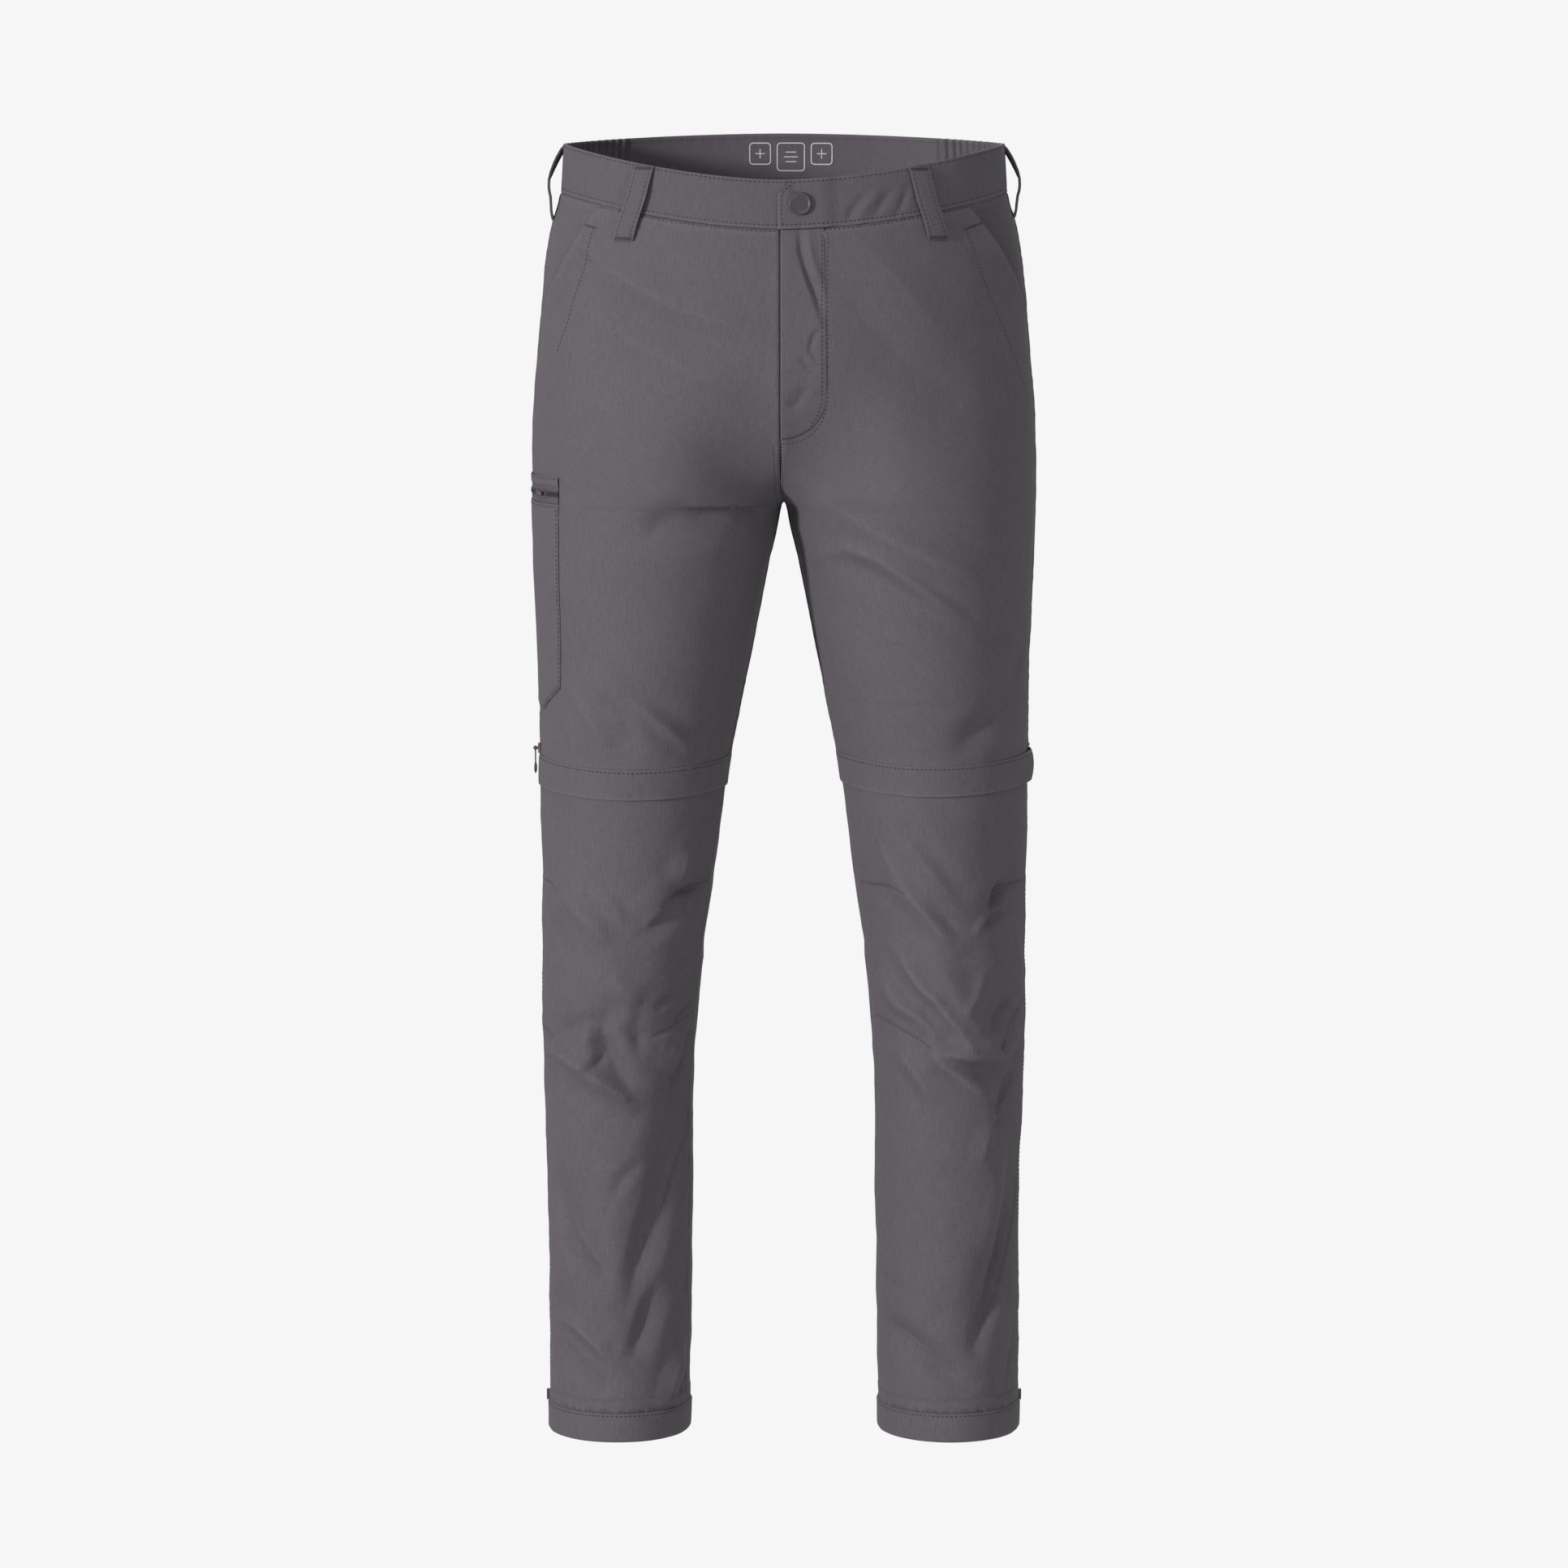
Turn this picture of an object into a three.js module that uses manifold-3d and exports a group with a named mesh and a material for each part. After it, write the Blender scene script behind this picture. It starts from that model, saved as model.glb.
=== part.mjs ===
// Outdoor trousers with zip-off legs, filled out as when worn, in millimetres.
// +X is the wearer's left, -Y the front and +Z up. The origin is the middle of the waist opening,
// level with the top of the waistband at the sides.
import * as THREE from 'three';
import { mergeVertices } from 'three/addons/utils/BufferGeometryUtils.js';
import Module from 'manifold-3d';

const wasm = await Module();
wasm.setup();

// Cloth and clearances
const CLOTH = 1.2;
const BAND_CLOTH = 2.0;
const HEM_CLOTH = 1.8;
const SEAM = 0.3;
const LAY = 0.5;
const WIDE_LAY = 0.8;

// Heights
const BAND_HEIGHT = 40;
const FRONT_DIP = 26;
const BACK_RISE = 6;
const CROTCH = -295;
const FRONT_CURVE_TOP = -165;
const BACK_CURVE_TOP = -150;
const ZIP_LINE = -511;
const HEM_TOP = -1049;
const HEM_BOTTOM = -1071;

// Seams, as parts of a leg's way round: 0 is the side, 0.5 the front, 1 the inside, 1.5 the back
const INSEAM_SWING = 0.1;
const SIDE_SWING = 0.05;
const FLY_SHIFT = 3;
const FLY_SHIFT_WIDTH = 60;

// Hip pockets
const MOUTH_START = 0.257;
const MOUTH_TOP = -61;
const MOUTH_END = -140;
const MOUTH_TUCK = 0.075;
const TUCK_DEPTH = 2.2;
const MOUTH_GAPE = { right: 1.0, left: 3.6 };
const GAPE_ROWS = 5;
const GAPE_WIDTH = 0.06;

// Grid sizes
const HIP_ROWS = 12;
const THIGH_ROWS = 9;
const HIP_PIECE_ROWS = 5;
const SHIN_ROWS = 27;
const FRONT_COLUMNS = 14;
const BACK_COLUMNS = 10;

// Sections of one half. outer and inner are distances from the middle plane; front, side, inseam
// and back are depths along Y.
const SECTIONS = [
  { z: 12, outer: 180.0, inner: 0, front: -104, side: 2, inseam: 14, back: 106 },
  { z: -40, outer: 183.0, inner: 0, front: -107, side: 3, inseam: 14, back: 110 },
  { z: -65, outer: 190.0, inner: 0, front: -109, side: 4, inseam: 14, back: 115 },
  { z: -88, outer: 194.5, inner: 0, front: -110, side: 5, inseam: 14, back: 119 },
  { z: -135, outer: 199.3, inner: 0, front: -111, side: 6, inseam: 14, back: 127 },
  { z: -182, outer: 203.2, inner: 0, front: -111, side: 7, inseam: 14, back: 133 },
  { z: -229, outer: 206.7, inner: 0, front: -110, side: 7, inseam: 14, back: 133 },
  { z: -276, outer: 207.4, inner: 0, front: -108, side: 7, inseam: 14, back: 127 },
  { z: -295, outer: 207.3, inner: 0, front: -107, side: 7, inseam: 14, back: 122 },
  { z: -347, outer: 205.9, inner: 10.2, front: -104, side: 6, inseam: 12, back: 113 },
  { z: -394, outer: 203.7, inner: 19.6, front: -101, side: 5, inseam: 9, back: 107 },
  { z: -465, outer: 202.0, inner: 33.8, front: -95, side: 3, inseam: 6, back: 100 },
  { z: -511, outer: 201.8, inner: 42.6, front: -90, side: 2, inseam: 4, back: 95 },
  { z: -560, outer: 202.0, inner: 48.8, front: -87, side: 1, inseam: 2, back: 90 },
  { z: -608, outer: 200.8, inner: 54.9, front: -86, side: 0, inseam: 0, back: 85 },
  { z: -656, outer: 200.8, inner: 61.7, front: -85, side: 0, inseam: 0, back: 82 },
  { z: -704, outer: 201.5, inner: 66.8, front: -83, side: 1, inseam: 1, back: 83 },
  { z: -752, outer: 200.5, inner: 70.6, front: -79, side: 2, inseam: 2, back: 85 },
  { z: -800, outer: 199.4, inner: 71.7, front: -76, side: 3, inseam: 3, back: 87 },
  { z: -896, outer: 197.0, inner: 72.9, front: -74, side: 3, inseam: 3, back: 84 },
  { z: -992, outer: 196.3, inner: 74.4, front: -74, side: 2, inseam: 2, back: 79 },
  { z: -1071, outer: 196.2, inner: 76.5, front: -75, side: 1, inseam: 1, back: 77 },
];
const ARCH_HALF_WIDTH = 3.6;
const ARCH_HEIGHT = 3.5;

// Largest folds, seen from the front: a ridge or trough from (x1, z1) to (x2, z2)
const FRONT_FOLDS = [
  { x1: -12, z1: -300, x2: -115, z2: -307, rise: -4.0, width: 9 },
  { x1: -20, z1: -325, x2: -110, z2: -333, rise: 2.0, width: 12 },
  { x1: -182, z1: -440, x2: -120, z2: -503, rise: -3.5, width: 9 },
  { x1: -165, z1: -425, x2: -95, z2: -500, rise: 2.5, width: 9 },
  { x1: -136, z1: -434, x2: -58, z2: -502, rise: -3.5, width: 9 },
  { x1: -188, z1: -598, x2: -132, z2: -684, rise: 3.5, width: 9 },
  { x1: -50, z1: -592, x2: -122, z2: -644, rise: -5.0, width: 8 },
  { x1: -58, z1: -622, x2: -118, z2: -664, rise: 3.0, width: 10 },
  { x1: -142, z1: -696, x2: -162, z2: -768, rise: -6.5, width: 9 },
  { x1: -206, z1: -727, x2: -118, z2: -794, rise: 7.0, width: 8 },
  { x1: -192, z1: -752, x2: -120, z2: -812, rise: -3.5, width: 9 },
  { x1: -135, z1: -722, x2: -100, z2: -744, rise: -4.5, width: 7 },
  { x1: -84, z1: -735, x2: -102, z2: -865, rise: -4.5, width: 10 },
  { x1: -98, z1: -815, x2: -134, z2: -980, rise: -6.0, width: 11 },
  { x1: -72, z1: -760, x2: -88, z2: -900, rise: 2.5, width: 9 },
  { x1: -194, z1: -790, x2: -166, z2: -990, rise: 4.0, width: 9 },
  { x1: -188, z1: -835, x2: -140, z2: -950, rise: -4.0, width: 9 },
  { x1: -196, z1: -950, x2: -142, z2: -1032, rise: -4.0, width: 9 },
  { x1: -98, z1: -925, x2: -130, z2: -1006, rise: -4.5, width: 9 },
  { x1: 30, z1: -280, x2: 180, z2: -365, rise: 3.5, width: 12 },
  { x1: 24, z1: -316, x2: 178, z2: -408, rise: -4.0, width: 8 },
  { x1: 186, z1: -448, x2: 136, z2: -500, rise: -2.5, width: 9 },
  { x1: 68, z1: -530, x2: 150, z2: -664, rise: 4.0, width: 9 },
  { x1: 98, z1: -528, x2: 155, z2: -603, rise: 3.0, width: 8 },
  { x1: 160, z1: -540, x2: 196, z2: -612, rise: -4.0, width: 10 },
  { x1: 196, z1: -594, x2: 160, z2: -642, rise: -4.5, width: 8 },
  { x1: 76, z1: -655, x2: 150, z2: -742, rise: -4.0, width: 9 },
  { x1: 115, z1: -646, x2: 172, z2: -752, rise: 6.5, width: 8 },
  { x1: 118, z1: -742, x2: 210, z2: -736, rise: 5.5, width: 7 },
  { x1: 126, z1: -757, x2: 210, z2: -755, rise: -5.5, width: 8 },
  { x1: 112, z1: -736, x2: 190, z2: -798, rise: 4.5, width: 8 },
  { x1: 202, z1: -760, x2: 170, z2: -830, rise: -4.5, width: 9 },
  { x1: 198, z1: -795, x2: 184, z2: -912, rise: -5.0, width: 10 },
  { x1: 192, z1: -875, x2: 152, z2: -1008, rise: -6.0, width: 11 },
  { x1: 176, z1: -800, x2: 166, z2: -920, rise: 2.5, width: 10 },
  { x1: 74, z1: -970, x2: 158, z2: -1034, rise: -4.0, width: 10 },
];

// Like folds on the back, which the photographed side doesn't show
const BACK_FOLDS = [
  { x1: -20, z1: -318, x2: -165, z2: -300, rise: -4.5, width: 11 },
  { x1: -25, z1: -350, x2: -150, z2: -342, rise: 2.5, width: 13 },
  { x1: -170, z1: -415, x2: -80, z2: -492, rise: -3.0, width: 10 },
  { x1: -196, z1: -580, x2: -90, z2: -628, rise: -5.0, width: 9 },
  { x1: -190, z1: -606, x2: -75, z2: -655, rise: 4.0, width: 9 },
  { x1: -70, z1: -612, x2: -165, z2: -690, rise: -5.0, width: 9 },
  { x1: -194, z1: -668, x2: -110, z2: -722, rise: -4.0, width: 9 },
  { x1: -80, z1: -700, x2: -170, z2: -775, rise: 3.5, width: 10 },
  { x1: -186, z1: -800, x2: -110, z2: -920, rise: -4.0, width: 11 },
  { x1: -84, z1: -850, x2: -140, z2: -985, rise: -4.0, width: 10 },
  { x1: -190, z1: -940, x2: -120, z2: -1025, rise: -3.5, width: 10 },
  { x1: 16, z1: -322, x2: 160, z2: -306, rise: -4.5, width: 11 },
  { x1: 30, z1: -356, x2: 168, z2: -338, rise: 2.5, width: 13 },
  { x1: 60, z1: -430, x2: 178, z2: -486, rise: -3.0, width: 10 },
  { x1: 60, z1: -590, x2: 176, z2: -622, rise: -5.0, width: 9 },
  { x1: 64, z1: -640, x2: 194, z2: -612, rise: 4.0, width: 9 },
  { x1: 190, z1: -630, x2: 92, z2: -700, rise: -5.0, width: 9 },
  { x1: 76, z1: -690, x2: 188, z2: -728, rise: -4.0, width: 9 },
  { x1: 196, z1: -718, x2: 100, z2: -790, rise: 3.5, width: 10 },
  { x1: 90, z1: -810, x2: 172, z2: -930, rise: -4.0, width: 11 },
  { x1: 190, z1: -868, x2: 140, z2: -1000, rise: -4.0, width: 10 },
  { x1: 84, z1: -960, x2: 150, z2: -1036, rise: -3.5, width: 10 },
];

const clamp = (value, low, high) => Math.min(Math.max(value, low), high);
const mix = (from, to, part) => from + (to - from) * part;
const smooth = (part) => {
  const p = clamp(part, 0, 1);
  return p * p * (3 - 2 * p);
};

// Slope at each section of a column, kept flat at its highest and lowest values
function columnSlopes(column) {
  const steps = [];
  for (let i = 0; i < SECTIONS.length - 1; i += 1) {
    const fall = SECTIONS[i + 1].z - SECTIONS[i].z;
    steps.push((SECTIONS[i + 1][column] - SECTIONS[i][column]) / fall);
  }
  const slopes = [steps[0]];
  for (let i = 1; i < steps.length; i += 1) {
    const product = steps[i - 1] * steps[i];
    slopes.push(product > 0 ? (2 * product) / (steps[i - 1] + steps[i]) : 0);
  }
  slopes.push(steps[steps.length - 1]);
  return slopes;
}

const COLUMNS = ['outer', 'inner', 'front', 'side', 'inseam', 'back'];
const SLOPES = Object.fromEntries(COLUMNS.map((column) => [column, columnSlopes(column)]));

// Section at any height, on a smooth curve through the table
function sectionAt(z) {
  const height = clamp(z, HEM_BOTTOM, SECTIONS[0].z);
  let i = 0;
  while (i < SECTIONS.length - 2 && SECTIONS[i + 1].z > height) {
    i += 1;
  }
  const span = SECTIONS[i + 1].z - SECTIONS[i].z;
  const t = (height - SECTIONS[i].z) / span;
  const section = {};
  for (const column of COLUMNS) {
    const start = SECTIONS[i][column];
    const end = SECTIONS[i + 1][column];
    const slope = SLOPES[column];
    section[column] =
      (2 * t ** 3 - 3 * t ** 2 + 1) * start +
      (t ** 3 - 2 * t ** 2 + t) * span * slope[i] +
      (3 * t ** 2 - 2 * t ** 3) * end +
      (t ** 3 - t ** 2) * span * slope[i + 1];
  }
  if (z < CROTCH) {
    const below = CROTCH - z;
    section.inner += ARCH_HALF_WIDTH * Math.sqrt(1 - Math.exp(-below / ARCH_HEIGHT));
  } else {
    section.inner = 0;
  }
  return section;
}

// Point of the smooth form. side is -1 for the wearer's right and 1 for the left, way is the part
// of the way round, z the height at the side. Near the crotch a row dips towards the seam.
function formPoint(side, way, z) {
  const turn = ((way % 2) + 2) % 2;
  const isBack = turn > 1;
  const t = isBack ? 2 - turn : turn;
  const section = sectionAt(z);
  const middle = (section.outer + section.inner) / 2;
  const half = (section.outer - section.inner) / 2;
  const curveTop = isBack ? BACK_CURVE_TOP : FRONT_CURVE_TOP;
  const crest = isBack ? section.back : section.front;
  const down = clamp((curveTop - z) / (curveTop - CROTCH), 0, 1);
  const legness = 1 - Math.cos((down * Math.PI) / 2);
  const dip = (curveTop - CROTCH) * (Math.sin((down * Math.PI) / 2) - down);
  let x = middle + half * Math.cos(Math.PI * t);
  const seam = mix(section.side, section.inseam, (1 - Math.cos(Math.PI * t)) / 2);
  let fullness = Math.sin(Math.PI * t) ** 0.94;
  if (t > 0.5 && legness < 1) {
    const valley = (1 + Math.cos(Math.PI * clamp(x / half, 0, 1))) / 2;
    fullness = 1 - mix(valley, 1 - fullness, legness);
  }
  const legDepth = seam + (crest - seam) * fullness;
  const bulge = Math.sqrt(Math.max(0, 1 - clamp(x / section.outer, 0, 1) ** 2.2));
  const hipDepth = section.side + (crest - section.side) * bulge;
  const y = mix(hipDepth, legDepth, legness);
  const drop = dip * smooth((t - 0.45) / 0.55);
  x *= side;
  if (!isBack && z > CROTCH) {
    x -= FLY_SHIFT * Math.exp(-((x / FLY_SHIFT_WIDTH) ** 2)) * smooth((1 - down) * 3);
  }
  return new THREE.Vector3(x, y, z - drop);
}

// Outward direction of the smooth form
function formNormal(side, way, z) {
  const step = 0.002;
  const turn = ((way % 2) + 2) % 2;
  const onSeam = z > CROTCH && Math.abs(turn - 1) < step;
  const low = onSeam && turn > 1 ? turn : way - step;
  const high = onSeam && turn <= 1 ? turn : way + step;
  const across = formPoint(side, high, z).sub(formPoint(side, low, z));
  const up = formPoint(side, way, z + 0.5).sub(formPoint(side, way, z - 0.5));
  const normal = up.cross(across).multiplyScalar(side);
  if (z >= CROTCH && Math.abs(turn - 1) < 1e-6) {
    normal.x = 0;
  }
  return normal.normalize();
}

function foldHeight(folds, x, z) {
  let height = 0;
  for (const fold of folds) {
    const dx = fold.x2 - fold.x1;
    const dz = fold.z2 - fold.z1;
    const length = Math.hypot(dx, dz);
    const along = ((x - fold.x1) * dx + (z - fold.z1) * dz) / length ** 2;
    if (along > 0 && along < 1) {
      const across = ((x - fold.x1) * dz - (z - fold.z1) * dx) / length;
      const taper = 1 - (2 * along - 1) ** 2;
      height += fold.rise * taper * Math.exp(-((across / fold.width) ** 2));
    }
  }
  return height;
}

// Point of the folded cloth and its outward direction, moved out by the given distance
function clothPoint(side, way, z, out) {
  const point = formPoint(side, way, z);
  const normal = formNormal(side, way, z);
  const facingFront = smooth((0.4 - normal.y) / 0.8);
  const folds =
    facingFront * foldHeight(FRONT_FOLDS, point.x, point.z) +
    (1 - facingFront) * foldHeight(BACK_FOLDS, point.x, point.z);
  return { point: point.addScaledVector(normal, folds + out), normal };
}

// Height at the side of the row that passes a front place at the wanted height
function levelAt(side, way, wanted) {
  let level = wanted;
  for (let i = 0; i < 30; i += 1) {
    level += 0.5 * (wanted - formPoint(side, way, level).z);
  }
  return level;
}

// Part of the way round at a distance x from the middle plane
function wayAt(x, z) {
  const section = sectionAt(z);
  const part = (2 * (x - section.inner)) / (section.outer - section.inner) - 1;
  return Math.acos(clamp(part, -1, 1)) / Math.PI;
}

function bandTop(way) {
  const turn = ((way % 2) + 2) % 2;
  const t = turn > 1 ? 2 - turn : turn;
  const reach = (1 + Math.cos(Math.PI * t)) / 2;
  if (turn > 1) {
    return BACK_RISE * (1 - reach ** 1.7);
  }
  return -FRONT_DIP * (1 - reach ** 1.7);
}

const bandBottom = (way) => bandTop(way) - BAND_HEIGHT;

const inseamWay = (z) => 1 - INSEAM_SWING * smooth((-360 - z) / 260);
const sideWay = (z) => SIDE_SWING * smooth((-520 - z) / 120);

function mouthWay(z) {
  const part = clamp((z - MOUTH_END) / (MOUTH_TOP - MOUTH_END), 0, 1.3);
  return MOUTH_START * part ** 0.65;
}

// Values from start to end, spread evenly along the cloth of one row
function spread(side, start, end, heightAt, count) {
  const samples = 96;
  const lengths = [0];
  let last = formPoint(side, start, heightAt(start));
  for (let i = 1; i <= samples; i += 1) {
    const way = mix(start, end, i / samples);
    const next = formPoint(side, way, heightAt(way));
    lengths.push(lengths[i - 1] + next.distanceTo(last));
    last = next;
  }
  const values = [];
  let i = 0;
  for (let k = 0; k <= count; k += 1) {
    const wanted = (lengths[samples] * k) / count;
    while (i < samples - 1 && lengths[i + 1] < wanted) {
      i += 1;
    }
    const part = (wanted - lengths[i]) / (lengths[i + 1] - lengths[i]);
    values.push(mix(start, end, (i + clamp(part, 0, 1)) / samples));
  }
  return values;
}

function pull(from, towards, distance) {
  const step = towards.clone().sub(from);
  return from.clone().addScaledVector(step.normalize(), distance);
}

// Closed wall of cloth from rows of places { side, way, z, out }. The outer face passes through
// them and the inner face lies behind it. trim takes half a seam off each open edge.
function wall(rows, thickness, { ring = false, trim = {}, keepSide = false } = {}) {
  const faces = [0, -thickness].map((depth) =>
    rows.map((row) =>
      row.map(({ side, way, z, out }) => {
        const { point, normal } = clothPoint(side, way, z, out + depth);
        if (keepSide) {
          const plane = -FLY_SHIFT * seamShift(z) * (way <= 1 ? 1 : 0);
          const reach = Math.max((point.x - plane) * side, SEAM / 2);
          point.x = plane + reach * side;
        }
        point.normal = normal;
        return point;
      }),
    ),
  );
  const rowCount = rows.length;
  const columnCount = rows[0].length;
  for (const face of faces) {
    const before = face.map((row) => row.map((point) => point.clone()));
    for (let j = 0; j < rowCount; j += 1) {
      if (trim.start) {
        face[j][0] = pull(before[j][0], before[j][1], trim.start);
      }
      if (trim.end) {
        const last = columnCount - 1;
        face[j][last] = pull(before[j][last], before[j][last - 1], trim.end);
      }
    }
    for (let i = 0; i < columnCount; i += 1) {
      if (trim.top) {
        face[0][i].z -= trim.top;
      }
      if (trim.bottom) {
        face[rowCount - 1][i].z += trim.bottom;
      }
    }
  }
  const positions = [];
  for (const face of faces) {
    for (const row of face) {
      for (const point of row) {
        positions.push(point.x, point.y, point.z);
      }
    }
  }
  const layer = rowCount * columnCount;
  const at = (face, j, i) => face * layer + j * columnCount + (i % columnCount);
  const index = [];
  const quad = (a, b, c, d) => index.push(a, b, c, a, c, d);
  const spans = ring ? columnCount : columnCount - 1;
  for (let j = 0; j < rowCount - 1; j += 1) {
    for (let i = 0; i < spans; i += 1) {
      quad(at(0, j, i), at(0, j + 1, i), at(0, j + 1, i + 1), at(0, j, i + 1));
      quad(at(1, j, i), at(1, j, i + 1), at(1, j + 1, i + 1), at(1, j + 1, i));
    }
    if (!ring) {
      quad(at(0, j, 0), at(1, j, 0), at(1, j + 1, 0), at(0, j + 1, 0));
      const e = columnCount - 1;
      quad(at(0, j, e), at(0, j + 1, e), at(1, j + 1, e), at(1, j, e));
    }
  }
  for (let i = 0; i < spans; i += 1) {
    const b = rowCount - 1;
    quad(at(0, 0, i), at(0, 0, i + 1), at(1, 0, i + 1), at(1, 0, i));
    quad(at(0, b, i), at(1, b, i), at(1, b, i + 1), at(0, b, i + 1));
  }
  return outward(positions, index);
}

// How far the fly's shift applies at a height, from the waist to the crotch
function seamShift(z) {
  const down = clamp((FRONT_CURVE_TOP - z) / (FRONT_CURVE_TOP - CROTCH), 0, 1);
  return z > CROTCH ? smooth((1 - down) * 3) : 0;
}

// Geometry with its faces turned out
function outward(positions, index) {
  const corner = (k) => new THREE.Vector3().fromArray(positions, 3 * index[k]);
  let volume = 0;
  for (let k = 0; k < index.length; k += 3) {
    volume += corner(k).dot(corner(k + 1).cross(corner(k + 2)));
  }
  if (volume < 0) {
    index.reverse();
  }
  const geometry = new THREE.BufferGeometry();
  geometry.setAttribute('position', new THREE.Float32BufferAttribute(positions, 3));
  geometry.setIndex(index);
  geometry.computeVertexNormals();
  return geometry;
}

const FINISH = {
  cloth: { color: 0x6a656b, roughness: 0.85, metalness: 0 },
  band: { color: 0x655f66, roughness: 0.85, metalness: 0 },
  trim: { color: 0x48454a, roughness: 0.6, metalness: 0 },
  metal: { color: 0x6b5f58, roughness: 0.35, metalness: 0.9 },
};

const group = new THREE.Group();

function add(name, geometry, finish) {
  const mesh = new THREE.Mesh(geometry, new THREE.MeshStandardMaterial(FINISH[finish]));
  mesh.name = name;
  group.add(mesh);
  return mesh;
}

const sideName = (side) => (side < 0 ? 'right' : 'left');

// Height of a row of the upper leg at a part of the way round
function upperHeight(row, way) {
  if (row <= HIP_ROWS) {
    return mix(bandBottom(way), CROTCH, row / HIP_ROWS);
  }
  return mix(CROTCH, ZIP_LINE, (row - HIP_ROWS) / THIGH_ROWS);
}

function upperFront(side) {
  const rows = [];
  for (let row = 0; row <= HIP_ROWS + THIGH_ROWS; row += 1) {
    const heightAt = (way) => upperHeight(row, way);
    const start = mouthWay(heightAt(mouthWay(heightAt(0.1))));
    const end = inseamWay(heightAt(1));
    const ways = spread(side, start, end, heightAt, FRONT_COLUMNS);
    const open = Math.sin((Math.PI * clamp(row, 0, GAPE_ROWS)) / GAPE_ROWS);
    const gape = MOUTH_GAPE[sideName(side)] * open;
    rows.push(
      ways.map((way) => {
        const out = gape * Math.exp(-(((way - start) / GAPE_WIDTH) ** 2));
        return { side, way, z: heightAt(way), out };
      }),
    );
  }
  const trim = { start: SEAM / 2, end: SEAM / 2, top: SEAM / 2, bottom: SEAM / 2 };
  return wall(rows, CLOTH, { trim, keepSide: true });
}

function upperBack(side) {
  const rows = [];
  for (let row = 0; row <= HIP_ROWS + THIGH_ROWS; row += 1) {
    const heightAt = (way) => upperHeight(row, way);
    const start = row < HIP_ROWS ? 1.000001 : inseamWay(heightAt(1));
    const ways = spread(side, start, 2, heightAt, BACK_COLUMNS);
    rows.push(ways.map((way) => ({ side, way, z: heightAt(way), out: 0 })));
  }
  const trim = { start: SEAM / 2, end: SEAM / 2, top: SEAM / 2, bottom: SEAM / 2 };
  return wall(rows, CLOTH, { trim, keepSide: true });
}

// Cloth behind the slanted pocket mouth, flush at the side seam and tucked under the front
function hipPiece(side) {
  const rows = [];
  for (let row = 0; row <= HIP_PIECE_ROWS + 1; row += 1) {
    const heightAt = (way) => upperHeight(row, way);
    const mouth = mouthWay(heightAt(mouthWay(heightAt(0.1))));
    const ways = spread(side, 0, mouth + MOUTH_TUCK, heightAt, 9);
    rows.push(
      ways.map((way) => {
        const under = smooth((way - (mouth - 0.08)) / 0.05);
        return { side, way, z: heightAt(way), out: -TUCK_DEPTH * under };
      }),
    );
  }
  return wall(rows, CLOTH, { trim: { start: SEAM / 2, top: SEAM / 2 } });
}

const shinHeight = (part) => mix(ZIP_LINE, HEM_TOP, part);

function lowerFront(side) {
  const rows = [];
  for (let row = 0; row <= SHIN_ROWS; row += 1) {
    const z = shinHeight(row / SHIN_ROWS);
    const ways = spread(side, sideWay(z), inseamWay(z), () => z, FRONT_COLUMNS);
    rows.push(ways.map((way) => ({ side, way, z, out: 0 })));
  }
  const trim = { start: SEAM / 2, end: SEAM / 2, top: SEAM / 2, bottom: SEAM / 2 };
  return wall(rows, CLOTH, { trim });
}

function lowerBack(side) {
  const rows = [];
  for (let row = 0; row <= SHIN_ROWS; row += 1) {
    const z = shinHeight(row / SHIN_ROWS);
    const ways = spread(side, inseamWay(z), 2 + sideWay(z), () => z, BACK_COLUMNS);
    rows.push(ways.map((way) => ({ side, way, z, out: 0 })));
  }
  const trim = { start: SEAM / 2, end: SEAM / 2, top: SEAM / 2, bottom: SEAM / 2 };
  return wall(rows, CLOTH, { trim });
}

// Turned-up hem, one ring a leg
function hem(side) {
  const columns = 30;
  const rows = [HEM_TOP, HEM_BOTTOM].map((z) => {
    const ways = spread(side, sideWay(z), 2 + sideWay(z), () => z, columns).slice(0, columns);
    return ways.map((way) => ({ side, way, z, out: 0 }));
  });
  return wall(rows, HEM_CLOTH, { ring: true, trim: { top: SEAM / 2 } });
}

for (const side of [-1, 1]) {
  const name = sideName(side);
  add(`front_upper_${name}`, upperFront(side), 'cloth');
  add(`back_upper_${name}`, upperBack(side), 'cloth');
  add(`hip_pocket_piece_${name}`, hipPiece(side), 'cloth');
  add(`front_lower_${name}`, lowerFront(side), 'cloth');
  add(`back_lower_${name}`, lowerBack(side), 'cloth');
  add(`hem_${name}`, hem(side), 'cloth');
}

// Waistband
const ELASTIC_START = 1.985;
const ELASTIC_END = 1.64;
const GATHERS = 13;
const GATHER_DEPTH = 1.3;
const GATHER_CLOTH = 1.6;
const TAB_REACH = 2;
const TAB_CORNER_WIDTH = 12;
const TAB_CORNER_DROP = 12;
const TAB_RAMP = { from: 46, to: 32 };
const UNDERLAP = 24;

// Place on the waistband by signed distance from the centre seam along X
function bandPlace(x, z) {
  const side = x < 0 ? -1 : 1;
  return { side, way: wayAt(Math.abs(x), z) };
}

function bandRows(places, steps, heights) {
  const rows = [];
  for (let j = 0; j <= steps; j += 1) {
    rows.push(
      places.map(({ side, way, out = 0, cut = 0 }) => {
        const top = bandTop(way) - cut;
        const bottom = bandTop(way) - heights;
        return { side, way, z: mix(top, bottom, j / steps), out };
      }),
    );
  }
  return rows;
}

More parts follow.
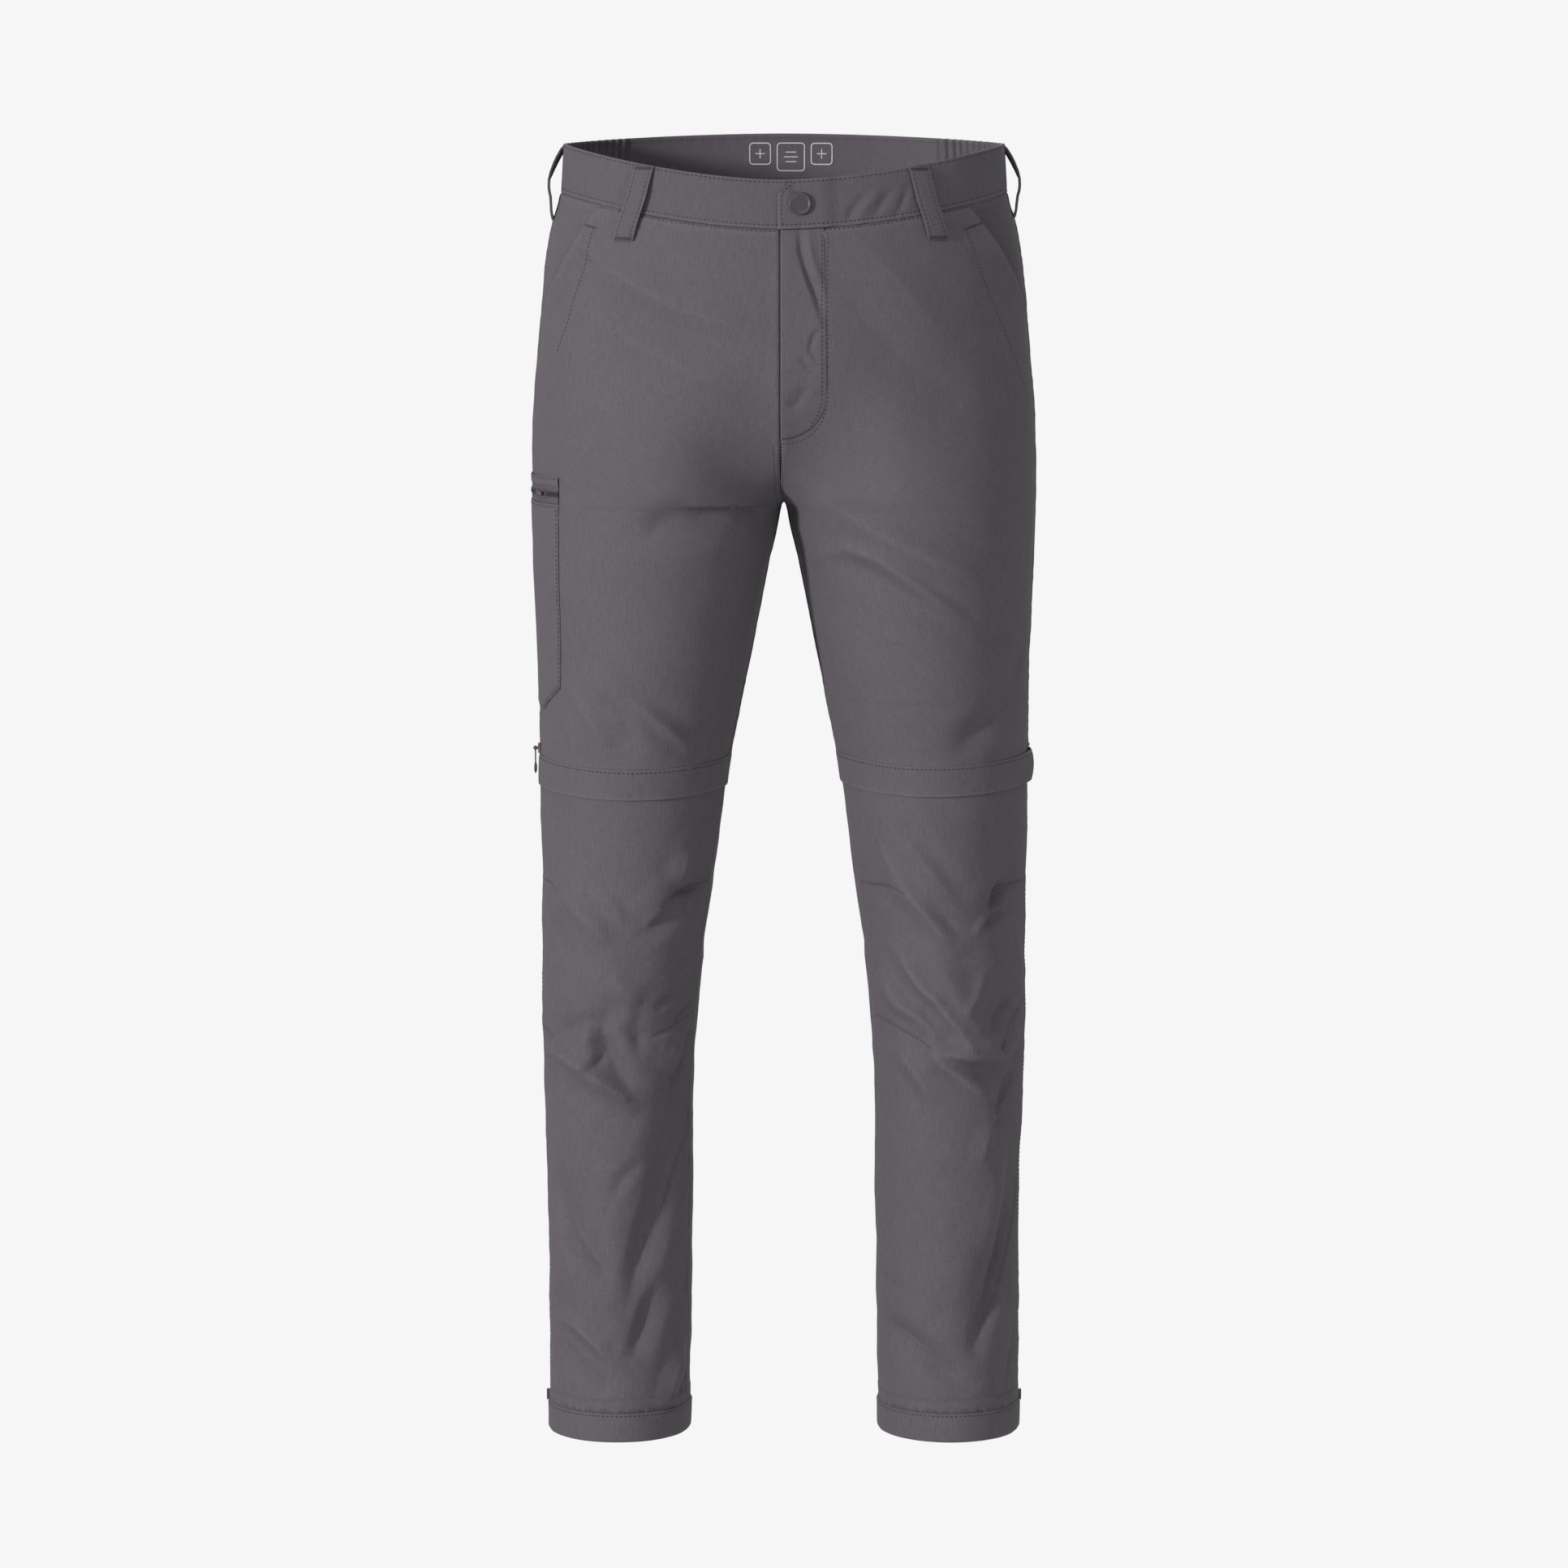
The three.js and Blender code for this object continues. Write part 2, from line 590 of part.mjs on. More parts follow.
function bandFrontRight() {
  const places = spread(-1, 0, 1, bandTop, 16).map((way) => ({ side: -1, way }));
  for (const x of [6, 15, UNDERLAP]) {
    places.push(bandPlace(x, -30));
  }
  const rows = bandRows(places, 2, BAND_HEIGHT);
  return wall(rows, BAND_CLOTH, { trim: { start: SEAM / 2, bottom: SEAM / 2 } });
}

function bandFrontLeft() {
  const tabOut = BAND_CLOTH + LAY;
  const end = wayAt(TAB_RAMP.from, -30);
  const places = spread(1, 0, end, bandTop, 13).map((way) => ({ side: 1, way }));
  const stations = [39, 30, 23, 16, TAB_CORNER_WIDTH - TAB_REACH, 5, 0, -TAB_REACH];
  for (const x of stations) {
    const ramp = smooth((TAB_RAMP.from - x) / (TAB_RAMP.from - TAB_RAMP.to));
    const beyond = clamp((TAB_CORNER_WIDTH - TAB_REACH - x) / TAB_CORNER_WIDTH, 0, 1);
    places.push({ ...bandPlace(x, -30), out: tabOut * ramp, cut: TAB_CORNER_DROP * beyond });
  }
  const rows = bandRows(places, 2, BAND_HEIGHT);
  return wall(rows, BAND_CLOTH, { trim: { start: SEAM / 2, bottom: SEAM / 2 } });
}

function bandElastic(side) {
  const columns = GATHERS * 4;
  const ways = spread(side, 2, ELASTIC_END, bandTop, columns);
  const places = ways.map((way, i) => {
    const fade = clamp(Math.min(i, columns - i) / 3, 0, 1);
    const wave = Math.sin((i * Math.PI) / 2) * GATHER_DEPTH * fade;
    return { side, way, out: wave };
  });
  const rows = bandRows(places, 1, BAND_HEIGHT);
  const trim = { start: SEAM / 2, end: SEAM / 2, bottom: SEAM / 2 };
  return wall(rows, GATHER_CLOTH, { trim });
}

function bandBack() {
  const right = spread(-1, ELASTIC_END, 1.000001, bandTop, 9).map((way) => ({ side: -1, way }));
  const left = right.slice(0, -1).reverse().map(({ way }) => ({ side: 1, way }));
  const rows = bandRows([...right, ...left], 2, BAND_HEIGHT);
  const trim = { start: SEAM / 2, end: SEAM / 2, bottom: SEAM / 2 };
  return wall(rows, BAND_CLOTH, { trim });
}

add('waistband_front_right', bandFrontRight(), 'band');
add('waistband_front_left', bandFrontLeft(), 'band');
add('waistband_elastic_right', bandElastic(-1), 'band');
add('waistband_elastic_left', bandElastic(1), 'band');
add('waistband_back', bandBack(), 'band');

// Belt loops: x at the top and bottom, length down and how far they bow out
const LOOP_CLOTH = 1.8;
const LOOP_WIDTH = 15;
const LOOP_STEPS = 9;
const LOOPS = [
  { name: 'front_right', side: -1, back: false, xTop: 114, xBottom: 126, length: 62, bow: 5.5 },
  { name: 'front_left', side: 1, back: false, xTop: 110, xBottom: 119, length: 61, bow: 5.0 },
  { name: 'side_right', side: -1, back: true, xTop: 179.5, xBottom: 187, length: 62, bow: 9.0 },
  { name: 'side_left', side: 1, back: true, xTop: 179.5, xBottom: 187, length: 60, bow: 9.5 },
];

function beltLoop({ side, back, xTop, xBottom, length, bow }) {
  const steps = LOOP_STEPS;
  const rows = [];
  for (let j = 0; j <= steps; j += 1) {
    const v = j / steps;
    const x = mix(xTop, xBottom, v);
    const nearWay = wayAt(x, -40);
    const middle = back ? 2 - nearWay : nearWay;
    const beside = formPoint(side, middle + 0.01, -40);
    const perWay = formPoint(side, middle, -40).distanceTo(beside) / 0.01;
    const half = LOOP_WIDTH / 2 / perWay;
    const top = bandTop(middle) - 1;
    const z = top - length * v;
    const out = LOOP_CLOTH + LAY + bow * Math.sin(Math.PI * v) ** 0.8 + loopSeat(z, back);
    rows.push([-1, 0, 1].map((k) => ({ side, way: middle + k * half, z, out })));
  }
  return wall(rows, LOOP_CLOTH);
}

// Extra clearance where a loop lies over the gathered part of the band
function loopSeat(z, back) {
  return back && z > -BAND_HEIGHT - 4 ? GATHER_DEPTH : 0;
}

for (const loop of LOOPS) {
  add(`belt_loop_${loop.name}`, beltLoop(loop), 'band');
}

// Centre-back loop, across the middle plane
const BACK_LOOP = { length: 60, bow: 5.8 };

function backLoop() {
  const steps = LOOP_STEPS;
  const rows = [];
  for (let j = 0; j <= steps; j += 1) {
    const v = j / steps;
    const z = BACK_RISE - 1 - BACK_LOOP.length * v;
    const out = LOOP_CLOTH + LAY + BACK_LOOP.bow * Math.sin(Math.PI * v) ** 0.8;
    const edge = 2 - wayAt(LOOP_WIDTH / 2, -20);
    rows.push([
      { side: -1, way: edge, z, out },
      { side: 1, way: 1.000001, z, out },
      { side: 1, way: edge, z, out },
    ]);
  }
  return wall(rows, LOOP_CLOTH);
}
add('belt_loop_back', backLoop(), 'band');

// Fly: the overlapping edge, sewn down along a J
const FLY_CLOTH = 1.0;
const FLY_LAY = 1.15;
const FLY_WIDTH = 36;
const FLY_STRAIGHT = -199;
const FLY_CURVE = 39;

function flyFlap() {
  const steps = 8;
  const columns = 6;
  const rows = [];
  for (let j = 0; j <= steps; j += 1) {
    const row = [];
    for (let i = 0; i <= columns; i += 1) {
      const x = FLY_WIDTH * (1 - i / columns) ** 0.8;
      const across = clamp(x / FLY_WIDTH, 0, 1);
      const bottom = FLY_STRAIGHT - FLY_CURVE * Math.sqrt(1 - across ** 2);
      const way = wayAt(x, -120);
      const z = levelAt(1, way, mix(bandBottom(way), bottom, j / steps));
      row.push({ side: 1, way, z, out: FLY_CLOTH + FLY_LAY });
    }
    rows.push(row);
  }
  return wall(rows, FLY_CLOTH, { trim: { top: SEAM }, keepSide: true });
}
add('fly_flap', flyFlap(), 'cloth');

// Press-stud cap on the waistband tab
const STUD_RADIUS = 9.3;
const STUD_HEIGHT = 3.4;
const STUD = { x: 15.5, z: -45.5 };

function studCap() {
  const profile = [
    [0, 0],
    [STUD_RADIUS - 0.8, 0],
    [STUD_RADIUS, 0.9],
    [STUD_RADIUS, 2.0],
    [STUD_RADIUS - 1.1, STUD_HEIGHT],
    [STUD_RADIUS - 2.4, STUD_HEIGHT - 0.5],
    [0, STUD_HEIGHT - 0.2],
  ];
  const points = profile.map(([r, h]) => new THREE.Vector2(r, h));
  const geometry = new THREE.LatheGeometry(points, 22);
  geometry.rotateX(Math.PI / 2);
  return tidy(geometry);
}

// Same geometry with its shared corners merged
function tidy(geometry) {
  geometry.deleteAttribute('normal');
  geometry.deleteAttribute('uv');
  return mergeVertices(geometry, 1e-4);
}

// Places a mesh on the cloth: its X runs along the row, its Y up and its Z outwards
function seat(mesh, side, way, z, out) {
  const { point, normal } = clothPoint(side, way, z, out);
  const up = new THREE.Vector3(0, 0, 1);
  up.addScaledVector(normal, -normal.z).normalize();
  const along = new THREE.Vector3().crossVectors(up, normal);
  mesh.position.copy(point);
  mesh.quaternion.setFromRotationMatrix(new THREE.Matrix4().makeBasis(along, up, normal));
}

const studPlace = bandPlace(STUD.x, -30);
const stud = add('snap_button', studCap(), 'trim');
seat(stud, studPlace.side, studPlace.way, STUD.z, BAND_CLOTH + LAY + SEAM);

// Thigh pocket on the wearer's right, with a zip across its top
const THIGH_POCKET = { front: 0.215, back: -0.27, top: -292.7, corner: -441, bottom: -459 };
const THIGH_ZIP = { top: -277.3, bottom: -292.4 };
const THIGH_WELT_TOP = -271;
const POCKET_CORNER = 0.07;
const POCKET_COLUMNS = 14;

function pocketWays(columns) {
  const heightAt = () => -350;
  return spread(-1, THIGH_POCKET.front, THIGH_POCKET.back, heightAt, columns);
}

function thighPatch() {
  const steps = 6;
  const rows = [];
  for (let j = 0; j <= steps; j += 1) {
    rows.push(
      pocketWays(POCKET_COLUMNS).map((way) => {
        const fromFront = (THIGH_POCKET.front - way) / POCKET_CORNER;
        const fromBack = (way - THIGH_POCKET.back) / POCKET_CORNER;
        const corner = clamp(Math.min(fromFront, fromBack), 0, 1);
        const bottom = mix(THIGH_POCKET.corner, THIGH_POCKET.bottom, corner);
        const z = mix(THIGH_POCKET.top, bottom, j / steps);
        return { side: -1, way, z, out: CLOTH + WIDE_LAY };
      }),
    );
  }
  return wall(rows, CLOTH);
}

function pocketStrip(top, bottom, thickness, out) {
  const rows = [top, bottom].map((z) => pocketWays(POCKET_COLUMNS).map((way) => ({ side: -1, way, z, out })));
  return wall(rows, thickness);
}

add('thigh_pocket_right', thighPatch(), 'cloth');
const TAPE_CLOTH = 0.8;
const tape = pocketStrip(THIGH_ZIP.top, THIGH_ZIP.bottom, TAPE_CLOTH, TAPE_CLOTH + WIDE_LAY);
add('thigh_zip_tape_right', tape, 'trim');
const welt = pocketStrip(THIGH_WELT_TOP, THIGH_ZIP.top + SEAM, CLOTH, CLOTH + WIDE_LAY);
add('thigh_zip_welt_right', welt, 'cloth');

// Flap over the zip that takes the lower leg off, one a leg
const FLAP = { top: -505, bottom: -530, frontDip: 5, cloth: 1.3, halfGap: 0.0165 };
const FLAP_ENDS = {
  right: { way: 0, lift: 0.5 },
  left: { way: -0.09, lift: 4.0 },
};

function zipFlap(side) {
  const columns = 34;
  const ends = FLAP_ENDS[sideName(side)];
  const rows = [0, 0.5, 1].map((part) => {
    const level = mix(FLAP.top, FLAP.bottom, part);
    const start = ends.way + FLAP.halfGap;
    const end = 2 + ends.way - FLAP.halfGap;
    return spread(side, start, end, () => level, columns).map((way) => {
      const dip = FLAP.frontDip * Math.sin(Math.PI * clamp(way, 0, 1)) ** 2;
      const nearSide = Math.exp(-((way / 0.07) ** 2));
      const bulge = ends.lift * nearSide * Math.sin(Math.PI * (0.2 + 0.6 * part));
      return { side, way, z: level - dip, out: FLAP.cloth + WIDE_LAY + bulge };
    });
  });
  return wall(rows, FLAP.cloth);
}

// Manifold solid from a closed three.js geometry
function solid(geometry) {
  const closed = tidy(geometry);
  const vertProperties = new Float32Array(closed.attributes.position.array);
  const triVerts = new Uint32Array(closed.index.array);
  return new wasm.Manifold(new wasm.Mesh({ numProp: 3, vertProperties, triVerts }));
}

function joined(geometries) {
  const whole = geometries.map(solid).reduce((sum, next) => sum.add(next));
  const mesh = whole.getMesh();
  const geometry = new THREE.BufferGeometry();
  geometry.setAttribute('position', new THREE.BufferAttribute(mesh.vertProperties, 3));
  geometry.setIndex(new THREE.BufferAttribute(mesh.triVerts, 1));
  geometry.computeVertexNormals();
  return geometry;
}

// Zip slider: a body with two posts and the pin that the pull turns on. The pin runs along Y.
const SLIDER = { length: 8, width: 6.4, height: 1.8 };
const PIN = { radius: 0.6, height: 4.0, span: 4.6 };
const PULL_TILT = 0.2;
const POST = { length: 2.0, width: 1.0 };
const EYE = { inner: 0.95, outer: 1.8, width: 2.2 };

function box(length, width, height, x, y, z) {
  const geometry = new THREE.BoxGeometry(length, width, height);
  geometry.translate(x, y, z);
  return geometry;
}

function sliderBody() {
  const parts = [box(SLIDER.length, SLIDER.width, SLIDER.height, 0, 0, SLIDER.height / 2)];
  const rise = PIN.height + PIN.radius + 0.3 - SLIDER.height / 2;
  for (const way of [-1, 1]) {
    const y = way * (PIN.span / 2 - POST.width / 2);
    parts.push(box(POST.length, POST.width, rise, 0, y, SLIDER.height / 2 + rise / 2));
  }
  const pin = new THREE.CylinderGeometry(PIN.radius, PIN.radius, PIN.span - 1, 12);
  pin.translate(0, 0, PIN.height);
  parts.push(pin);
  return joined(parts);
}

// Pull: an eye round the pin, a link and a moulded oval end, pointing along -X from the pin
function pullTab({ link, length, width, thickness }) {
  const ringShape = new THREE.Shape();
  ringShape.absarc(0, 0, EYE.outer, 0, Math.PI * 2, false);
  const hole = new THREE.Path();
  hole.absarc(0, 0, EYE.inner, 0, Math.PI * 2, true);
  ringShape.holes.push(hole);
  const ring = new THREE.ExtrudeGeometry(ringShape, {
    depth: EYE.width,
    bevelEnabled: false,
    curveSegments: 8,
  });
  ring.translate(0, 0, -EYE.width / 2);
  ring.rotateX(Math.PI / 2);
  const bar = box(link, EYE.width, 1.1, -EYE.outer - link / 2 + 0.3, 0, 0);
  const end = new THREE.SphereGeometry(1, 10, 7);
  end.scale(length / 2, width / 2, thickness / 2);
  end.translate(-EYE.outer - link - length / 2 + 0.9, 0, 0);
  return joined([ring, bar, end]);
}

// A slider on the cloth with its pull on the pin. turn is the pull's direction about the outward
// line, from along the row
function zipEnd(name, side, place, turn, tilt, pullSizes) {
  const slider = add(`${name}_slider_${sideName(side)}`, sliderBody(), 'metal');
  seat(slider, side, place.way, place.z, place.out);
  slider.rotateZ(turn);
  const tab = add(`${name}_pull_${sideName(side)}`, pullTab(pullSizes), 'trim');
  seat(tab, side, place.way, place.z, place.out + PIN.height);
  tab.rotateZ(turn);
  tab.rotateY(-tilt);
}

const THIGH_SLIDER = { way: 0.158, z: -284.8, out: TAPE_CLOTH + WIDE_LAY + SEAM };
const THIGH_PULL = { link: 3.4, length: 10.5, width: 5.4, thickness: 2.2 };
zipEnd('thigh_zip', -1, THIGH_SLIDER, 0, PULL_TILT, THIGH_PULL);

// Leg zips: each slider is at the ends of the flap, with a pull that hangs down
const LEG_SLIDER = { z: -500.4, out: WIDE_LAY };
const LEG_PULL = { link: 10.5, length: 10, width: 6, thickness: 2.6 };

for (const side of [-1, 1]) {
  const name = sideName(side);
  add(`zip_flap_${name}`, zipFlap(side), 'band');
  const place = { ...LEG_SLIDER, way: FLAP_ENDS[name].way };
  zipEnd('leg_zip', side, place, Math.PI / 2, 0, LEG_PULL);
}

// Ends of the hem's cord channel, small tabs at the outer side
const HEM_TAB = { length: 4.5, width: 8.5, height: 2.6, z: -1046 };

for (const side of [-1, 1]) {
  const tab = box(HEM_TAB.length, HEM_TAB.width, HEM_TAB.height, 0, 0, HEM_TAB.height / 2);
  const mesh = add(`hem_tab_${sideName(side)}`, tidy(tab), 'trim');
  seat(mesh, side, 0, HEM_TAB.z, SEAM);
}

export default group;
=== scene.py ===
# %% [markdown]
# Outdoor trousers with zip-off lower legs.
# The garment is shown filled out, as when worn, with nobody in it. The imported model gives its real
# size and the place of every piece. This script gives each piece its cloth, its folds and its
# sewing. It works in millimetres, like a cutter's pattern, and turns them into metres at the end.

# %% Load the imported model
import math
from functools import partial
from operator import itemgetter

import bmesh
import bpy
import numpy as np
from mathutils import Euler, Matrix, Vector
from mathutils.bvhtree import BVHTree


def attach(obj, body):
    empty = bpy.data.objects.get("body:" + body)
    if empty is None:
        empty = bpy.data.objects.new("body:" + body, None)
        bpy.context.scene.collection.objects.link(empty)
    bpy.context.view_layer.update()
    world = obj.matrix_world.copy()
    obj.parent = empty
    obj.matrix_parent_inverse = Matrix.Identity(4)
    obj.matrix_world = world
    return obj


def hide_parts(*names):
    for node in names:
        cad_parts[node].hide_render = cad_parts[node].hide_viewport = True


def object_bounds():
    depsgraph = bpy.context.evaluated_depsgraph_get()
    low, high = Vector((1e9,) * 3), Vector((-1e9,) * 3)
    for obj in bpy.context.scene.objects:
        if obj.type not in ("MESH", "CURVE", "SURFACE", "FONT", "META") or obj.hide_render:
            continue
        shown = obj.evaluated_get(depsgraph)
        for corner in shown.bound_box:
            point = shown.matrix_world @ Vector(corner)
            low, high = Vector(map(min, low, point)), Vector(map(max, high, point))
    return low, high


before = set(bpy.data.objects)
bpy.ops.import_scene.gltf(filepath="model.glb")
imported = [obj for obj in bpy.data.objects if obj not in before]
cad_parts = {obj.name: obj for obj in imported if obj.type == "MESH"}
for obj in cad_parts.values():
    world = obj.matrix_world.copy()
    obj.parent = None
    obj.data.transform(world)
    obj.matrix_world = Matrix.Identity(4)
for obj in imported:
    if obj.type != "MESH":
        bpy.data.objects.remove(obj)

CAD_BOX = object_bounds()
MM = 0.001
SIDES = {"right": -1, "left": 1}
scene = bpy.context.scene
print("CAD box in metres:", CAD_BOX)

# %% [markdown]
# The camera comes first, because what it sees decides which folds matter most. The photograph looks
# straight at the front from slightly above: the front of the hems sits lower than their sides, and
# the waist shows its inside at the back. A long lens from six metres gives the same ellipses.

# %% Camera
PHOTO_SIZE = 1932
CAMERA_DISTANCE = 6.039
CAMERA_PITCH = math.radians(6.54)
AIM_HEIGHT = -0.5305
FOCAL_PIXELS = 8947
SENSOR = 36.0

camera_data = bpy.data.cameras.new("camera")
camera_data.sensor_width = SENSOR
camera_data.lens = FOCAL_PIXELS / PHOTO_SIZE * SENSOR
camera_data.clip_end = 100.0
camera = bpy.data.objects.new("camera", camera_data)
scene.collection.objects.link(camera)
camera.location = (
    0.0,
    -CAMERA_DISTANCE * math.cos(CAMERA_PITCH),
    AIM_HEIGHT + CAMERA_DISTANCE * math.sin(CAMERA_PITCH),
)
camera.rotation_euler = (math.pi / 2 - CAMERA_PITCH, 0.0, 0.0)
scene.camera = camera
print("lens in millimetres:", round(camera_data.lens, 1))

# %% [markdown]
# Two small helpers come back all through the script. One adds a node, sets it and joins it in one
# line. The other turns a shape into an object with one finish.

# %% Helpers for nodes and objects


def add_node(tree, kind, inputs=None, **settings):
    made = tree.nodes.new(kind)
    for name, value in settings.items():
        setattr(made, name, value)
    for name, value in (inputs or {}).items():
        if isinstance(value, bpy.types.NodeSocket):
            tree.links.new(value, made.inputs[name])
        else:
            made.inputs[name].default_value = value
    return made


def new_object(name, shape, finish):
    mesh = bpy.data.meshes.new(name)
    shape.to_mesh(mesh)
    shape.free()
    mesh.materials.append(finish)
    thing = bpy.data.objects.new(name, mesh)
    scene.collection.objects.link(thing)
    return thing


print("helpers ready in", scene.name)

# %% [markdown]
# The studio is plain: a pale floor that fades into a pale room. A small strong light stands far out
# at the left and front, low enough to reach the inside of the waist. Larger weak lights from above,
# from the low right and from behind open the shadows. The floor doesn't light the cloth and the
# room lights it only weakly, so it keeps the soft fall from bright left edges to dark right ones.

# %% Studio
FLOOR_DROP = 0.35
FLOOR_HALF = 40.0
ROOM_WHITE = 0.922
ROOM_GLOW = 0.36
MIDDLE = (0.0, 0.0, AIM_HEIGHT)
LIGHTS = {
    # place, size, power
    "key": ((-3.7, -3.1, 0.55), 0.6, 174.0),
    "high": ((-0.6, -3.4, 3.0), 1.0, 22.0),
    "fill": ((2.2, -3.5, -1.6), 1.6, 34.0),
    "far": ((0.8, 4.4, 1.6), 2.0, 45.0),
}


def even_white(tree, kind, strength):
    white = (ROOM_WHITE, ROOM_WHITE, ROOM_WHITE, 1.0)
    return add_node(tree, kind, {"Color": white, "Strength": strength}).outputs[0]


scene.view_settings.view_transform = "Standard"
scene.world = bpy.data.worlds.new("room")
scene.world.use_nodes = True
room = scene.world.node_tree
room.nodes.clear()
either = add_node(room, "ShaderNodeMixShader", {
    "Fac": add_node(room, "ShaderNodeLightPath").outputs["Is Camera Ray"],
    1: even_white(room, "ShaderNodeBackground", ROOM_GLOW),
    2: even_white(room, "ShaderNodeBackground", 1.0),
})
add_node(room, "ShaderNodeOutputWorld", {"Surface": either.outputs[0]})

floor_paint = bpy.data.materials.new("pale_floor")
floor_paint.use_nodes = True
pale = floor_paint.node_tree
pale.nodes.clear()
add_node(pale, "ShaderNodeOutputMaterial", {"Surface": even_white(pale, "ShaderNodeEmission", 1.0)})
floor_shape = bmesh.new()
bmesh.ops.create_grid(floor_shape, x_segments=1, y_segments=1, size=FLOOR_HALF)
bmesh.ops.translate(floor_shape, verts=floor_shape.verts, vec=(0, 0, CAD_BOX[0][2] - FLOOR_DROP))
floor = new_object("floor", floor_shape, floor_paint)
floor.visible_diffuse = False
floor.visible_glossy = False
floor.visible_shadow = False

for name, (place, size, power) in LIGHTS.items():
    lamp = bpy.data.lights.new(name, "AREA")
    lamp.shape = "DISK"
    lamp.size = size
    lamp.energy = power
    light = bpy.data.objects.new(name, lamp)
    light.location = place
    light.rotation_euler = (Vector(MIDDLE) - Vector(place)).to_track_quat("-Z", "Y").to_euler()
    scene.collection.objects.link(light)
print("lights:", list(LIGHTS))

# %% [markdown]
# The form of the garment.
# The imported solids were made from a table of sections: at each height, how far out and in one leg
# reaches, and how deep its front, side, inseam and back lie. The fine cloth needs the same form, so
# the table is set out again here. A point of the cloth is named by its half of the body, its way
# round the leg and its height at the side. Way 0 is the side seam, 0.5 the front, 1 the inside and
# 1.5 the back. All points of a piece are worked out at once, which is quick.

# %% Sections, in millimetres: height, outer, inner, front, side, inseam, back
SECTIONS = np.array([
    (12, 180.0, 0, -104, 2, 14, 106), (-40, 183.0, 0, -107, 3, 14, 110),
    (-65, 190.0, 0, -109, 4, 14, 115), (-88, 194.5, 0, -110, 5, 14, 119),
    (-135, 199.3, 0, -111, 6, 14, 127), (-182, 203.2, 0, -111, 7, 14, 133),
    (-229, 206.7, 0, -110, 7, 14, 133), (-276, 207.4, 0, -108, 7, 14, 127),
    (-295, 207.3, 0, -107, 7, 14, 122), (-347, 205.9, 10.2, -104, 6, 12, 113),
    (-394, 203.7, 19.6, -101, 5, 9, 107), (-465, 202.0, 33.8, -95, 3, 6, 100),
    (-511, 201.8, 42.6, -90, 2, 4, 95), (-560, 202.0, 48.8, -87, 1, 2, 90),
    (-608, 200.8, 54.9, -86, 0, 0, 85), (-656, 200.8, 61.7, -85, 0, 0, 82),
    (-704, 201.5, 66.8, -83, 1, 1, 83), (-752, 200.5, 70.6, -79, 2, 2, 85),
    (-800, 199.4, 71.7, -76, 3, 3, 87), (-896, 197.0, 72.9, -74, 3, 3, 84),
    (-992, 196.3, 74.4, -74, 2, 2, 79), (-1071, 196.2, 76.5, -75, 1, 1, 77),
])
CROTCH = -295.0
FRONT_CURVE_TOP = -165.0
BACK_CURVE_TOP = -150.0
ZIP_LINE = -511.0
HEM_TOP = -1049.0
HEM_BOTTOM = -1071.0
FLY_SHIFT = 3.0
FLY_SHIFT_WIDTH = 60.0


def mix(start, end, part):
    return start + (end - start) * part


def soft_step(part):
    part = np.clip(part, 0.0, 1.0)
    return part * part * (3.0 - 2.0 * part)


def bell(x, middle, width, power=2):
    """1 at the middle, falling off softly to both sides."""
    return np.exp(-(((x - middle) / width) ** power))


def column_slopes(table):
    steps = np.diff(table[:, 1:], axis=0) / np.diff(table[:, :1], axis=0)
    product = steps[:-1] * steps[1:]
    both = np.where(product > 0, steps[:-1] + steps[1:], 1.0)
    middle = np.where(product > 0, 2.0 * product / both, 0.0)
    return np.concatenate([steps[:1], middle, steps[-1:]])


SLOPES = column_slopes(SECTIONS)


def section_at(z):
    height = np.clip(z, HEM_BOTTOM, SECTIONS[0, 0])
    i = np.clip(np.searchsorted(-SECTIONS[:, 0], -height) - 1, 0, len(SECTIONS) - 2)
    span = (SECTIONS[i + 1, 0] - SECTIONS[i, 0])[..., None]
    t = (height - SECTIONS[i, 0])[..., None] / span
    values = (
        (2 * t**3 - 3 * t**2 + 1) * SECTIONS[i, 1:]
        + (t**3 - 2 * t**2 + t) * span * SLOPES[i]
        + (3 * t**2 - 2 * t**3) * SECTIONS[i + 1, 1:]
        + (t**3 - t**2) * span * SLOPES[i + 1]
    )
    outer, inner, front, side, inseam, back = np.moveaxis(values, -1, 0)
    arch = 3.6 * np.sqrt(1.0 - np.exp(-np.maximum(CROTCH - z, 0.0) / 3.5))
    return outer, np.where(z < CROTCH, inner + arch, 0.0), front, side, inseam, back


print("sections:", len(SECTIONS), "between", SECTIONS[0, 0], "and", HEM_BOTTOM, "mm")

# %% Points and outward directions of the smooth form


